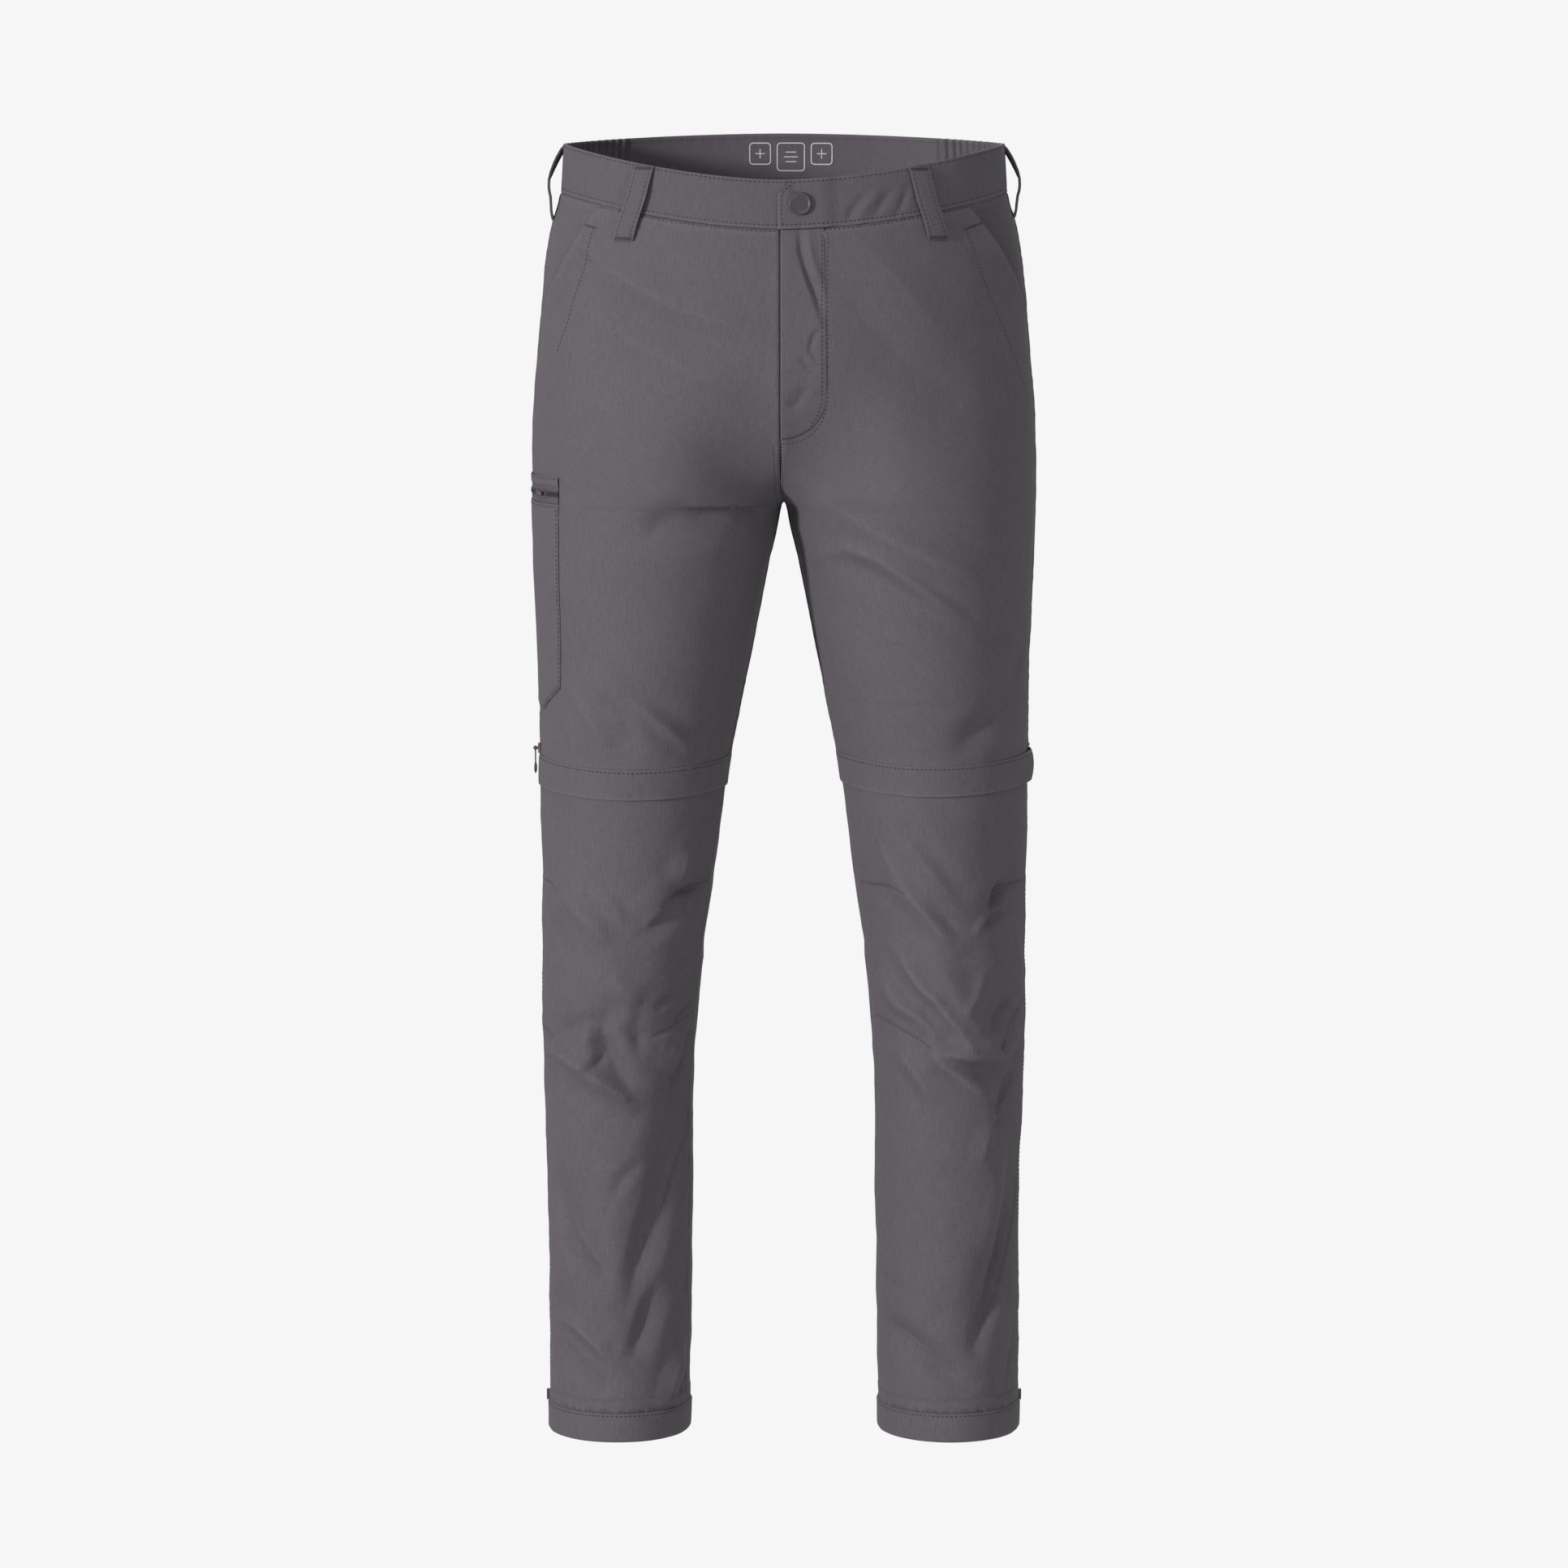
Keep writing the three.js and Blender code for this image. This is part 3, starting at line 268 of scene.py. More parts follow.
def form_point(side, way, z):
    side, way, z = np.broadcast_arrays(*(np.asarray(v, float) for v in (side, way, z)))
    turn = np.mod(way, 2.0)
    back_half = turn > 1.0
    t = np.where(back_half, 2.0 - turn, turn)
    outer, inner, front, depth, inseam, back = section_at(z)
    middle, half = (outer + inner) / 2, (outer - inner) / 2
    curve_top = np.where(back_half, BACK_CURVE_TOP, FRONT_CURVE_TOP)
    crest = np.where(back_half, back, front)
    down = np.clip((curve_top - z) / (curve_top - CROTCH), 0, 1)
    legness = 1 - np.cos(down * np.pi / 2)
    dip = (curve_top - CROTCH) * (np.sin(down * np.pi / 2) - down)
    x = middle + half * np.cos(np.pi * t)
    seam = mix(depth, inseam, (1 - np.cos(np.pi * t)) / 2)
    fullness = np.maximum(np.sin(np.pi * t), 0.0) ** 0.94
    valley = (1 + np.cos(np.pi * np.clip(x / half, 0, 1))) / 2
    inner_half = (t > 0.5) & (legness < 1)
    fullness = np.where(inner_half, 1 - mix(valley, 1 - fullness, legness), fullness)
    leg_depth = seam + (crest - seam) * fullness
    bulge = np.sqrt(np.maximum(0, 1 - np.clip(x / outer, 0, 1) ** 2.2))
    y = mix(depth + (crest - depth) * bulge, leg_depth, legness)
    x = x * side
    shift = FLY_SHIFT * bell(x, 0, FLY_SHIFT_WIDTH) * soft_step((1 - down) * 3)
    x = x - np.where(~back_half & (z > CROTCH), shift, 0.0)
    return np.stack([x, y, z - dip * soft_step((t - 0.45) / 0.55)], axis=-1)


def form_normal(side, way, z):
    side, way, z = np.broadcast_arrays(*(np.asarray(v, float) for v in (side, way, z)))
    turn = np.mod(way, 2.0)
    on_seam = (z > CROTCH) & (np.abs(turn - 1) < 0.002)
    low = np.where(on_seam & (turn > 1), way, way - 0.002)
    high = np.where(on_seam & (turn <= 1), way, way + 0.002)
    across = form_point(side, high, z) - form_point(side, low, z)
    up = form_point(side, way, z + 0.5) - form_point(side, way, z - 0.5)
    normal = np.cross(up, across) * side[..., None]
    normal[..., 0] = np.where((z >= CROTCH) & (np.abs(turn - 1) < 1e-6), 0, normal[..., 0])
    return normal / np.linalg.norm(normal, axis=-1, keepdims=True)


def way_at(x, z):
    outer, inner = section_at(np.asarray(z, float))[:2]
    return np.arccos(np.clip(2 * (x - inner) / (outer - inner) - 1, -1, 1)) / np.pi


knee = form_point(1, 0.5, -650.0)
print("front of the left knee:", knee.round(1))

# %% [markdown]
# The large folds.
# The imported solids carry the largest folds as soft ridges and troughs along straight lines, seen
# from the front or from the back. They are set out again, so the fine cloth lies on the solids.
# Each row gives the line's two ends, its rise in millimetres (a trough is negative) and its width.

# %% Large folds of the front
FRONT_FOLDS = np.array([
    (-12, -300, -115, -307, -4.0, 9), (-20, -325, -110, -333, 2.0, 12),
    (-182, -440, -120, -503, -3.5, 9), (-165, -425, -95, -500, 2.5, 9),
    (-136, -434, -58, -502, -3.5, 9), (-188, -598, -132, -684, 3.5, 9),
    (-50, -592, -122, -644, -5.0, 8), (-58, -622, -118, -664, 3.0, 10),
    (-142, -696, -162, -768, -6.5, 9), (-206, -727, -118, -794, 7.0, 8),
    (-192, -752, -120, -812, -3.5, 9), (-135, -722, -100, -744, -4.5, 7),
    (-84, -735, -102, -865, -4.5, 10), (-98, -815, -134, -980, -6.0, 11),
    (-72, -760, -88, -900, 2.5, 9), (-194, -790, -166, -990, 4.0, 9),
    (-188, -835, -140, -950, -4.0, 9), (-196, -950, -142, -1032, -4.0, 9),
    (-98, -925, -130, -1006, -4.5, 9), (30, -280, 180, -365, 3.5, 12),
    (24, -316, 178, -408, -4.0, 8), (186, -448, 136, -500, -2.5, 9),
    (68, -530, 150, -664, 4.0, 9), (98, -528, 155, -603, 3.0, 8),
    (160, -540, 196, -612, -4.0, 10), (196, -594, 160, -642, -4.5, 8),
    (76, -655, 150, -742, -4.0, 9), (115, -646, 172, -752, 6.5, 8),
    (118, -742, 210, -736, 5.5, 7), (126, -757, 210, -755, -5.5, 8),
    (112, -736, 190, -798, 4.5, 8), (202, -760, 170, -830, -4.5, 9),
    (198, -795, 184, -912, -5.0, 10), (192, -875, 152, -1008, -6.0, 11),
    (176, -800, 166, -920, 2.5, 10), (74, -970, 158, -1034, -4.0, 10),
])
print("large front folds:", len(FRONT_FOLDS))

# %% Large folds of the back
BACK_FOLDS = np.array([
    (-20, -318, -165, -300, -4.5, 11), (-25, -350, -150, -342, 2.5, 13),
    (-170, -415, -80, -492, -3.0, 10), (-196, -580, -90, -628, -5.0, 9),
    (-190, -606, -75, -655, 4.0, 9), (-70, -612, -165, -690, -5.0, 9),
    (-194, -668, -110, -722, -4.0, 9), (-80, -700, -170, -775, 3.5, 10),
    (-186, -800, -110, -920, -4.0, 11), (-84, -850, -140, -985, -4.0, 10),
    (-190, -940, -120, -1025, -3.5, 10), (16, -322, 160, -306, -4.5, 11),
    (30, -356, 168, -338, 2.5, 13), (60, -430, 178, -486, -3.0, 10),
    (60, -590, 176, -622, -5.0, 9), (64, -640, 194, -612, 4.0, 9),
    (190, -630, 92, -700, -5.0, 9), (76, -690, 188, -728, -4.0, 9),
    (196, -718, 100, -790, 3.5, 10), (90, -810, 172, -930, -4.0, 11),
    (190, -868, 140, -1000, -4.0, 10), (84, -960, 150, -1036, -3.5, 10),
])

FOLD_CREST = 2.4
FOLD_SPREAD = 2.3


def fold_relief(folds, x, z):
    relief = np.zeros_like(x)
    for x1, z1, x2, z2, rise, width in folds:
        dx, dz = x2 - x1, z2 - z1
        length = math.hypot(dx, dz)
        along = ((x - x1) * dx + (z - z1) * dz) / length**2
        across = ((x - x1) * dz - (z - z1) * dx) / length
        taper = np.maximum(0.0, 1 - (2 * along - 1) ** 2)
        flank = (np.sqrt(across**2 + FOLD_CREST**2) - FOLD_CREST) / (FOLD_SPREAD * width)
        relief += rise * taper * np.maximum(1 - flank, 0) ** 1.6
    return relief


print("large back folds:", len(BACK_FOLDS))

# %% [markdown]
# The finer creases.
# Real cloth breaks into creases where a dart ends, where a knee has bent and above a hem. They could
# come from a cloth simulation, but then they would fall anywhere. Here each is placed along a few
# given points, as a soft ridge or trough that fades at its ends. A crease may lean, so one flank is
# steeper than the other, which is what makes a crease catch the light on one side.

# %% Creases of the front: rise, width of each flank, and the points they pass through
FRONT_CREASES = [
    # fly and hips
    (-1.5, 4, 7, [(13, -66), (14, -84), (20, -104), (27, -122), (32, -140)]),
    (0.8, 8, 6, [(19, -68), (22, -92), (29, -112)]),
    (-0.6, 6, 8, [(4, -214), (12, -205), (20, -192)]),
    (-0.6, 3, 5, [(31, -146), (24, -152), (21, -163), (26, -172)]),
    (-0.5, 3, 5, [(12, -168), (19, -178), (27, -182)]),
    (-0.9, 3, 5, [(51, -60), (57, -49), (66, -39)]),
    (0.6, 5, 4, [(60, -58), (67, -47), (77, -35)]),
    (-0.8, 3, 5, [(72, -58), (79, -47), (88, -35)]),
    (-0.7, 3, 4, [(90, -58), (95, -48), (101, -33)]),
    (-0.7, 3, 5, [(3, -36), (8, -34), (12, -39)]),
    (1.7, 17, 27, [(-168, -78), (-145, -98), (-96, -127), (-30, -147)]),
    (-1.3, 20, 20, [(-172, -100), (-150, -118), (-110, -140), (-50, -165)]),
    (1.2, 18, 26, [(-164, -130), (-120, -160), (-70, -185), (-20, -200)]),
    (1.0, 35, 27, [(54, -70), (96, -112), (140, -170)]),
    (-1.0, 29, 29, [(46, -120), (90, -170), (150, -215)]),
    (-1.0, 19, 19, [(-176, -78), (-160, -92), (-138, -98)]),
    # right thigh, below the crotch and above the zip
    (-2.3, 10, 17, [(-112, -316), (-100, -302), (-81, -298), (-62, -300), (-38, -301)]),
    (-1.8, 11, 15, [(-5, -290), (-20, -297), (-38, -301)]),
    (-2.2, 13, 13, [(-10, -303), (-22, -320)]),
    (2.1, 10, 14, [(-178, -440), (-160, -467), (-142, -492)]),
    (2.5, 8, 13, [(-124, -450), (-98, -473), (-70, -498)]),
    (-1.8, 12, 12, [(-154, -445), (-134, -465), (-122, -490)]),
    # left thigh
    (2.9, 14, 8, [(20, -344), (35, -329), (52, -326), (75, -333), (103, -353), (128, -371),
                      (154, -392)]),
    (1.8, 22, 17, [(18, -278), (59, -304), (106, -329), (166, -353)]),
    (-2.1, 12, 12, [(200, -410), (191, -441)]),
    (-1.6, 17, 17, [(197, -444), (169, -470), (140, -494)]),
    # right knee
    (2.6, 26, 6, [(-86, -614), (-101, -625), (-116, -639)]),
    (-1.6, 6, 10, [(-65, -609), (-86, -614), (-101, -624)]),
    (1.8, 14, 12, [(-185, -615), (-168, -628), (-154, -639), (-144, -655)]),
    (1.1, 8, 8, [(-152, -612), (-139, -623), (-132, -640)]),
    (-1.1, 8, 10, [(-194, -634), (-185, -649), (-178, -668)]),
    (1.6, 14, 10, [(-79, -576), (-83, -594), (-88, -609)]),
    (1.4, 17, 13, [(-144, -681), (-131, -692), (-118, -705)]),
    (-0.8, 9, 11, [(-116, -701), (-119, -713), (-122, -725)]),
    (3.2, 14, 12, [(-166, -719), (-162, -730), (-160, -744), (-162, -759)]),
    (-1.8, 4, 6, [(-150, -745), (-155, -754), (-161, -763)]),
    (-3.0, 14, 16, [(-150, -730), (-143, -750), (-135, -765), (-126, -779)]),
    (2.8, 8, 9, [(-200, -748), (-179, -749), (-163, -759), (-148, -771), (-135, -779),
                  (-128, -788)]),
    (-0.7, 5, 5, [(-124, -731), (-118, -736), (-119, -742)]),
    (0.5, 9, 8, [(-113, -728), (-110, -739), (-115, -751)]),
    (-1.4, 4, 6, [(-74, -705), (-84, -715), (-91, -724)]),
    (-1.1, 4, 6, [(-87, -696), (-97, -702), (-108, -709)]),
    (-1.8, 10, 12, [(-196, -739), (-184, -729), (-173, -723), (-151, -718)]),
    (2.0, 16, 8, [(-86, -734), (-84, -745), (-89, -755), (-97, -766)]),
    (-1.4, 3, 4, [(-77, -723), (-81, -742), (-87, -764), (-91, -785)]),
    (1.2, 5, 7, [(-193, -755), (-184, -765), (-183, -777), (-186, -796)]),
    (-3.0, 18, 16, [(-78, -774), (-81, -820), (-90, -842), (-99, -871), (-108, -897),
                  (-115, -917), (-122, -938), (-128, -957)]),
    # right shin
    (-2.4, 10, 10, [(-187, -846), (-179, -879), (-171, -901), (-155, -923), (-145, -936)]),
    (1.6, 8, 6, [(-190, -873), (-180, -910), (-171, -952)]),
    (2.4, 8, 12, [(-192, -970), (-172, -978), (-155, -992), (-145, -1005)]),
    (-2.0, 12, 10, [(-188, -989), (-176, -1008), (-159, -1019), (-141, -1027)]),
    (-2.0, 11, 14, [(-98, -941), (-108, -960), (-117, -981), (-126, -1003)]),
    (-1.8, 6, 4, [(-80, -927), (-82, -949), (-77, -967)]),
    (2.4, 12, 9, [(-77, -988), (-85, -1004), (-92, -1022), (-98, -1047)]),
    (-1.4, 4, 5, [(-77, -1017), (-82, -1027), (-87, -1036)]),
    (-1.3, 10, 10, [(-117, -835), (-134, -851), (-142, -867)]),
    (1.0, 8, 8, [(-179, -800), (-170, -823), (-166, -849)]),
    # left knee
    (2.8, 14, 12, [(78, -570), (92, -595), (102, -612), (114, -625), (124, -638), (138, -657)]),
    (1.7, 10, 10, [(100, -566), (119, -590), (129, -605), (140, -617)]),
    (-1.1, 6, 6, [(116, -617), (129, -630), (143, -645)]),
    (-3.2, 9, 4, [(184, -603), (179, -619), (173, -629)]),
    (-2.2, 5, 4, [(184, -629), (174, -635), (165, -643)]),
    (1.1, 5, 6, [(171, -629), (162, -639), (155, -647)]),
    (2.2, 9, 12, [(79, -677), (85, -693), (93, -705), (110, -715), (122, -726), (128, -742)]),
    (3.4, 13, 10, [(93, -660), (103, -677), (115, -692), (125, -700), (134, -713), (144, -725),
                  (151, -736), (155, -747)]),
    (3.8, 20, 12, [(125, -744), (140, -745), (155, -748), (172, -749), (191, -752)]),
    (2.7, 16, 10, [(122, -743), (130, -754), (143, -763), (157, -774), (166, -784), (171, -791)]),
    (2.2, 10, 15, [(94, -737), (100, -752), (110, -764), (117, -777), (123, -788)]),
    (-2.2, 9, 6, [(192, -700), (181, -709), (174, -723), (169, -730)]),
    (-2.0, 3, 3, [(183, -736), (178, -742), (179, -747)]),
    (1.3, 6, 5, [(165, -679), (159, -697), (148, -714)]),
    (-3.0, 7, 8, [(192, -763), (186, -778), (181, -789), (175, -802)]),
    (-1.2, 3, 4, [(184, -803), (177, -807), (171, -811)]),
    (1.6, 12, 8, [(172, -789), (175, -804), (168, -818), (163, -838)]),
    # left shin
    (-4.4, 9, 12, [(197, -820), (195, -856), (190, -895), (183, -927), (174, -956), (163, -976),
                  (159, -994)]),
    (-2.4, 13, 14, [(78, -973), (97, -984), (114, -995), (130, -1008), (152, -1020)]),
    (-1.3, 4, 6, [(194, -971), (191, -997), (187, -1018), (184, -1038)]),
    (-0.9, 8, 8, [(78, -935), (89, -943), (101, -947)]),
    (1.2, 10, 9, [(184, -832), (175, -871), (168, -911)]),
]
print("creases on the front:", len(FRONT_CREASES))

# %% Creases of the back, and how a crease is turned into heights
BACK_CREASES = [
    (-2.9, 10, 14, [(-18, -312), (-60, -306), (-110, -303)]),
    (2.1, 10, 14, [(-30, -338), (-80, -352), (-128, -372)]),
    (2.1, 14, 10, [(28, -340), (82, -350), (136, -378)]),
    (-2.9, 14, 10, [(16, -314), (70, -308), (126, -300)]),
    (-2.1, 14, 14, [(-172, -430), (-130, -470), (-90, -498)]),
    (-2.1, 14, 14, [(176, -440), (136, -474), (92, -498)]),
    (2.9, 8, 14, [(-186, -590), (-140, -612), (-98, -640)]),
    (-3.1, 8, 13, [(-74, -604), (-112, -634), (-150, -668)]),
    (3.1, 12, 7, [(70, -596), (116, -622), (172, -640)]),
    (-3.1, 13, 9, [(186, -612), (140, -652), (96, -690)]),
    (2.6, 8, 13, [(-180, -690), (-140, -716), (-100, -730)]),
    (2.6, 13, 8, [(84, -700), (130, -722), (186, -734)]),
    (-2.9, 10, 14, [(-190, -780), (-160, -850), (-128, -910)]),
    (-2.9, 14, 10, [(92, -800), (120, -862), (160, -930)]),
    (2.0, 10, 14, [(-92, -830), (-112, -900), (-136, -970)]),
    (2.0, 14, 10, [(186, -850), (170, -920), (142, -990)]),
    (-2.1, 13, 13, [(-188, -950), (-160, -990), (-126, -1020)]),
    (-2.1, 13, 13, [(88, -950), (116, -990), (150, -1026)]),
]
CREST = 0.5
CREASE_GAIN = 2.7
CREST_SHINE = 1.5


def beside_path(path, x, z):
    """How far each point lies from a path, how far along it, and on which side of it."""
    spans = [math.dist(a, b) for a, b in zip(path, path[1:])]
    nearest = np.full_like(x, 1e9)
    along = np.zeros_like(x)
    flank = np.zeros_like(x)
    done = 0.0
    for (x1, z1), (x2, z2), span in zip(path, path[1:], spans):
        dx, dz = x2 - x1, z2 - z1
        t = np.clip(((x - x1) * dx + (z - z1) * dz) / span**2, 0, 1)
        off_x, off_z = x - x1 - t * dx, z - z1 - t * dz
        distance = np.hypot(off_x, off_z)
        closer = distance < nearest
        nearest = np.where(closer, distance, nearest)
        along = np.where(closer, (done + t * span) / sum(spans), along)
        flank = np.where(closer, (dx * off_z - dz * off_x) / span, flank)
        done += span
    return nearest, np.sin(np.pi * np.clip(along, 0.02, 0.98)) ** 0.6, flank


def crease_relief(creases, x, z):
    """Ridges and troughs with a crisp crest between two flanks of their own widths."""
    relief = np.zeros_like(x)
    for rise, left, right, path in creases:
        nearest, taper, flank = beside_path(path, x, z)
        reach = np.where(flank > 0, right, left)
        crest = (np.sqrt(nearest**2 + CREST**2) - CREST) / reach
        relief += CREASE_GAIN * rise * taper * np.maximum(1 - crest, 0) ** 1.2
    return relief


def crest_wear(creases, x, z):
    """Painted highlights along the crests, and painted shade along the bottoms of troughs."""
    painted_light_and_shade = np.zeros_like(x)
    for rise, left, right, path in creases:
        nearest, taper, _ = beside_path(path, x, z)
        painted_light_and_shade += 0.35 * rise * taper * bell(nearest, 0, CREST_SHINE)
    return painted_light_and_shade


print("creases on the back:", len(BACK_CREASES))

# %% [markdown]
# No cloth is quite even, so a faint random unevenness is laid over everything. The random heights
# stand on a lattice in space, with a fixed seed, so the cloth comes out the same on every run and
# neighbouring pieces stay in step.

# %% Uneven cloth
LATTICE = 4096
CRUMPLE = 1.5
EDGE_CALM = 0.8
BACK_CALM = 0.55
KNEE_HEIGHT = -705
SHIN_HEIGHT = -960
TILT = np.array(Euler((0.6, 0.4, 0.9)).to_matrix())


def ripple(points, cell, seed):
    heights = np.random.default_rng(seed).uniform(-1, 1, LATTICE)
    place = points @ TILT / cell
    base = np.floor(place).astype(np.int64)
    part = soft_step(place - base)
    total = np.zeros(points.shape[:-1])
    for corner in np.ndindex(2, 2, 2):
        key = ((base + corner) * (7919, 104729, 1299709)).sum(axis=-1) % LATTICE
        weight = np.where(corner, part, 1 - part).prod(axis=-1)
        total += weight * heights[key]
    return total


def cloth_point(side, way, z, out=0.0):
    """Point of the fine cloth and its outward direction, moved out by some millimetres."""
    point, normal = form_point(side, way, z), form_normal(side, way, z)
    facing = soft_step((0.4 - normal[..., 1]) / 0.8)
    x, height = point[..., 0], point[..., 2]
    front = fold_relief(FRONT_FOLDS, x, height) + crease_relief(FRONT_CREASES, x, height)
    back = fold_relief(BACK_FOLDS, x, height) + BACK_CALM * crease_relief(BACK_CREASES, x, height)
    loose = soft_step((-50 - height) / 60)
    uneven = 0.55 * ripple(point, 34.0, 11) + 0.22 * ripple(point, 13.0, 12)
    knees = bell(height, KNEE_HEIGHT, 115) + 0.55 * bell(height, SHIN_HEIGHT, 90)
    crumple = 0.35 - np.abs(ripple(point, 27.0, 13)) - 0.35 * np.abs(ripple(point, 12.0, 14))
    relief = facing * front + (1 - facing) * back
    relief *= 1 - EDGE_CALM * soft_step((np.abs(normal[..., 0]) - 0.84) / 0.15)
    relief += loose * uneven + CRUMPLE * knees * crumple
    return point + normal * (relief + out)[..., None], normal


sample, _ = cloth_point(1, np.linspace(0.1, 0.9, 5), np.full(5, -745.0))
print("cloth across the left knee:", sample.round(1).tolist())

# %% [markdown]
# The finishes.
# The trousers are of one fine, dark grey synthetic cloth with a hint of purple. Its threads are
# uneven, so short thin streaks run along and across it. Each finish is a material made of nodes.
# What several finishes share, such as the weave, is a node group that is built once and placed in
# each material with its own values.

# %% Sums, groups and streaks made of nodes


def sum_up(tree, operation, first, second=0.0):
    return add_node(tree, "ShaderNodeMath", {0: first, 1: second}, operation=operation).outputs[0]


def new_group(name, inputs, outputs):
    tree = bpy.data.node_groups.new(name, "ShaderNodeTree")
    for direction, sockets in (("INPUT", inputs), ("OUTPUT", outputs)):
        for label, kind in sockets:
            tree.interface.new_socket(name=label, in_out=direction, socket_type="NodeSocket" + kind)
    return tree, tree.nodes.new("NodeGroupInput"), tree.nodes.new("NodeGroupOutput")


def streaks(tree, place, along, across):
    stretched = add_node(
        tree, "ShaderNodeMapping", {"Vector": place, "Scale": (across, along, 1.0)})
    return add_node(tree, "ShaderNodeTexNoise", {
        "Vector": stretched.outputs[0], "Scale": 1.0, "Detail": 2.0, "Roughness": 0.6,
    }).outputs["Fac"]


def new_finish(name, group, place, values, bump, depth, constants):
    """A material that takes its colour, roughness and bump from a shared group."""
    paint = bpy.data.materials.new(name)
    paint.use_nodes = True
    tree = paint.node_tree
    kind, output, settings = place
    where = add_node(tree, kind, **settings).outputs[output]
    mixed = add_node(tree, "ShaderNodeGroup", {"Place": where, **values}, node_tree=group)
    surface = tree.nodes["Principled BSDF"]
    for label, value in constants.items():
        surface.inputs[label].default_value = value
    bumps = add_node(tree, "ShaderNodeBump", {
        "Strength": bump, "Distance": depth, "Height": mixed.outputs["Height"]})
    tree.links.new(mixed.outputs["Colour"], surface.inputs["Base Color"])
    tree.links.new(mixed.outputs["Roughness"], surface.inputs["Roughness"])
    tree.links.new(bumps.outputs["Normal"], surface.inputs["Normal"])
    return paint, tree, mixed


print("helpers for finishes ready")

# %% The weave, shared by the cloth finishes
# Place is the cloth's own map in metres. Streak and Mottle say how strongly the colour varies.
# The fifth input carries each piece's painted light and shade, and its paler seams and edges.
weave, weave_in, weave_out = new_group(
    "weave",
    [("Place", "Vector"), ("Colour", "Color"), ("Streak", "Float"), ("Mottle", "Float"),
     ("Tone and painted light", "Float"), ("Threads", "Float")],
    [("Colour", "Color"), ("Height", "Float"), ("Roughness", "Float")],
)
place = weave_in.outputs["Place"]
warp = streaks(weave, place, 160.0, 1300.0)
weft = streaks(weave, place, 1300.0, 130.0)
long_warp = streaks(weave, place, 60.0, 700.0)
mottle = add_node(weave, "ShaderNodeTexNoise", {
    "Vector": place, "Scale": 16.0, "Detail": 4.0, "Roughness": 0.55}).outputs["Fac"]
both = sum_up(weave, "ADD", sum_up(weave, "ADD", warp, weft), long_warp)
streak = sum_up(weave, "MULTIPLY", sum_up(weave, "SUBTRACT", both, 1.5),
                weave_in.outputs["Streak"])
cloud = sum_up(weave, "MULTIPLY", sum_up(weave, "SUBTRACT", mottle, 0.5),
               weave_in.outputs["Mottle"])
shade = sum_up(weave, "ADD", sum_up(weave, "ADD", streak, cloud), 1.0)
# Painted light and shade: the per-point tone makes the colour paler where positive, darker where
# negative.
shade = sum_up(weave, "ADD", shade, sum_up(weave, "MULTIPLY", weave_in.outputs["Tone and painted light"], 0.16))
tinted = add_node(weave, "ShaderNodeVectorMath", {0: weave_in.outputs["Colour"]},
                  operation="SCALE")
weave.links.new(shade, tinted.inputs["Scale"])
axes = add_node(weave, "ShaderNodeSeparateXYZ", {"Vector": place})
turns = sum_up(weave, "MULTIPLY", weave_in.outputs["Threads"], 6.2832)
over = sum_up(weave, "SINE", sum_up(weave, "MULTIPLY", axes.outputs["X"], turns))
under = sum_up(weave, "SINE", sum_up(weave, "MULTIPLY", axes.outputs["Y"], turns))
knots = sum_up(weave, "MULTIPLY", over, under)
rough = sum_up(weave, "ADD", sum_up(weave, "MULTIPLY", mottle, 0.12), 0.72)
height = sum_up(weave, "ADD", sum_up(weave, "MULTIPLY", knots, 0.35), both)
weave.links.new(tinted.outputs[0], weave_out.inputs["Colour"])
weave.links.new(height, weave_out.inputs["Height"])
weave.links.new(rough, weave_out.inputs["Roughness"])
print("weave group:", len(weave.nodes), "nodes")

# %% Cloth finishes, one for the shell, one for the band and loops and one for the zip tape


WEAVE_DEPTH = 0.0002


def cloth_finish(name, colour, streak, mottle, threads, bump, sheen):
    values = {"Colour": (*colour, 1.0), "Streak": streak, "Mottle": mottle, "Threads": threads}
    paint, tree, woven = new_finish(
        name, weave, ("ShaderNodeUVMap", "UV", {"uv_map": "cloth"}), values, bump, WEAVE_DEPTH,
        {"Specular IOR Level": 0.28, "Sheen Weight": sheen, "Sheen Roughness": 0.45,
         "Sheen Tint": (0.92, 0.9, 0.96, 1.0)})
    # The per-point tone paints light and shade into the cloth's colour.
    wear_and_painted_light = add_node(tree, "ShaderNodeAttribute", attribute_name="wear")
    tree.links.new(wear_and_painted_light.outputs["Fac"], woven.inputs["Tone and painted light"])
    return paint


SHELL_COLOUR = (0.112, 0.0995, 0.1145)
BAND_COLOUR = (0.105, 0.0935, 0.108)
TRIM_COLOUR = (0.094, 0.084, 0.097)
# Thread of the cloth's colour, made much darker to paint the shade in the stitch holes.
THREAD_WITH_PAINTED_SHADE = (0.020, 0.017, 0.021)
shell_cloth = cloth_finish("shell_cloth", SHELL_COLOUR, 0.42, 0.16, 1800.0, 0.5, 0.12)
band_cloth = cloth_finish("band_cloth", BAND_COLOUR, 0.42, 0.16, 1800.0, 0.5, 0.12)
trim_cloth = cloth_finish("zip_tape", TRIM_COLOUR, 0.5, 0.12, 1300.0, 0.7, 0.1)
print("cloth finishes:", [m.name for m in (shell_cloth, band_cloth, trim_cloth)])

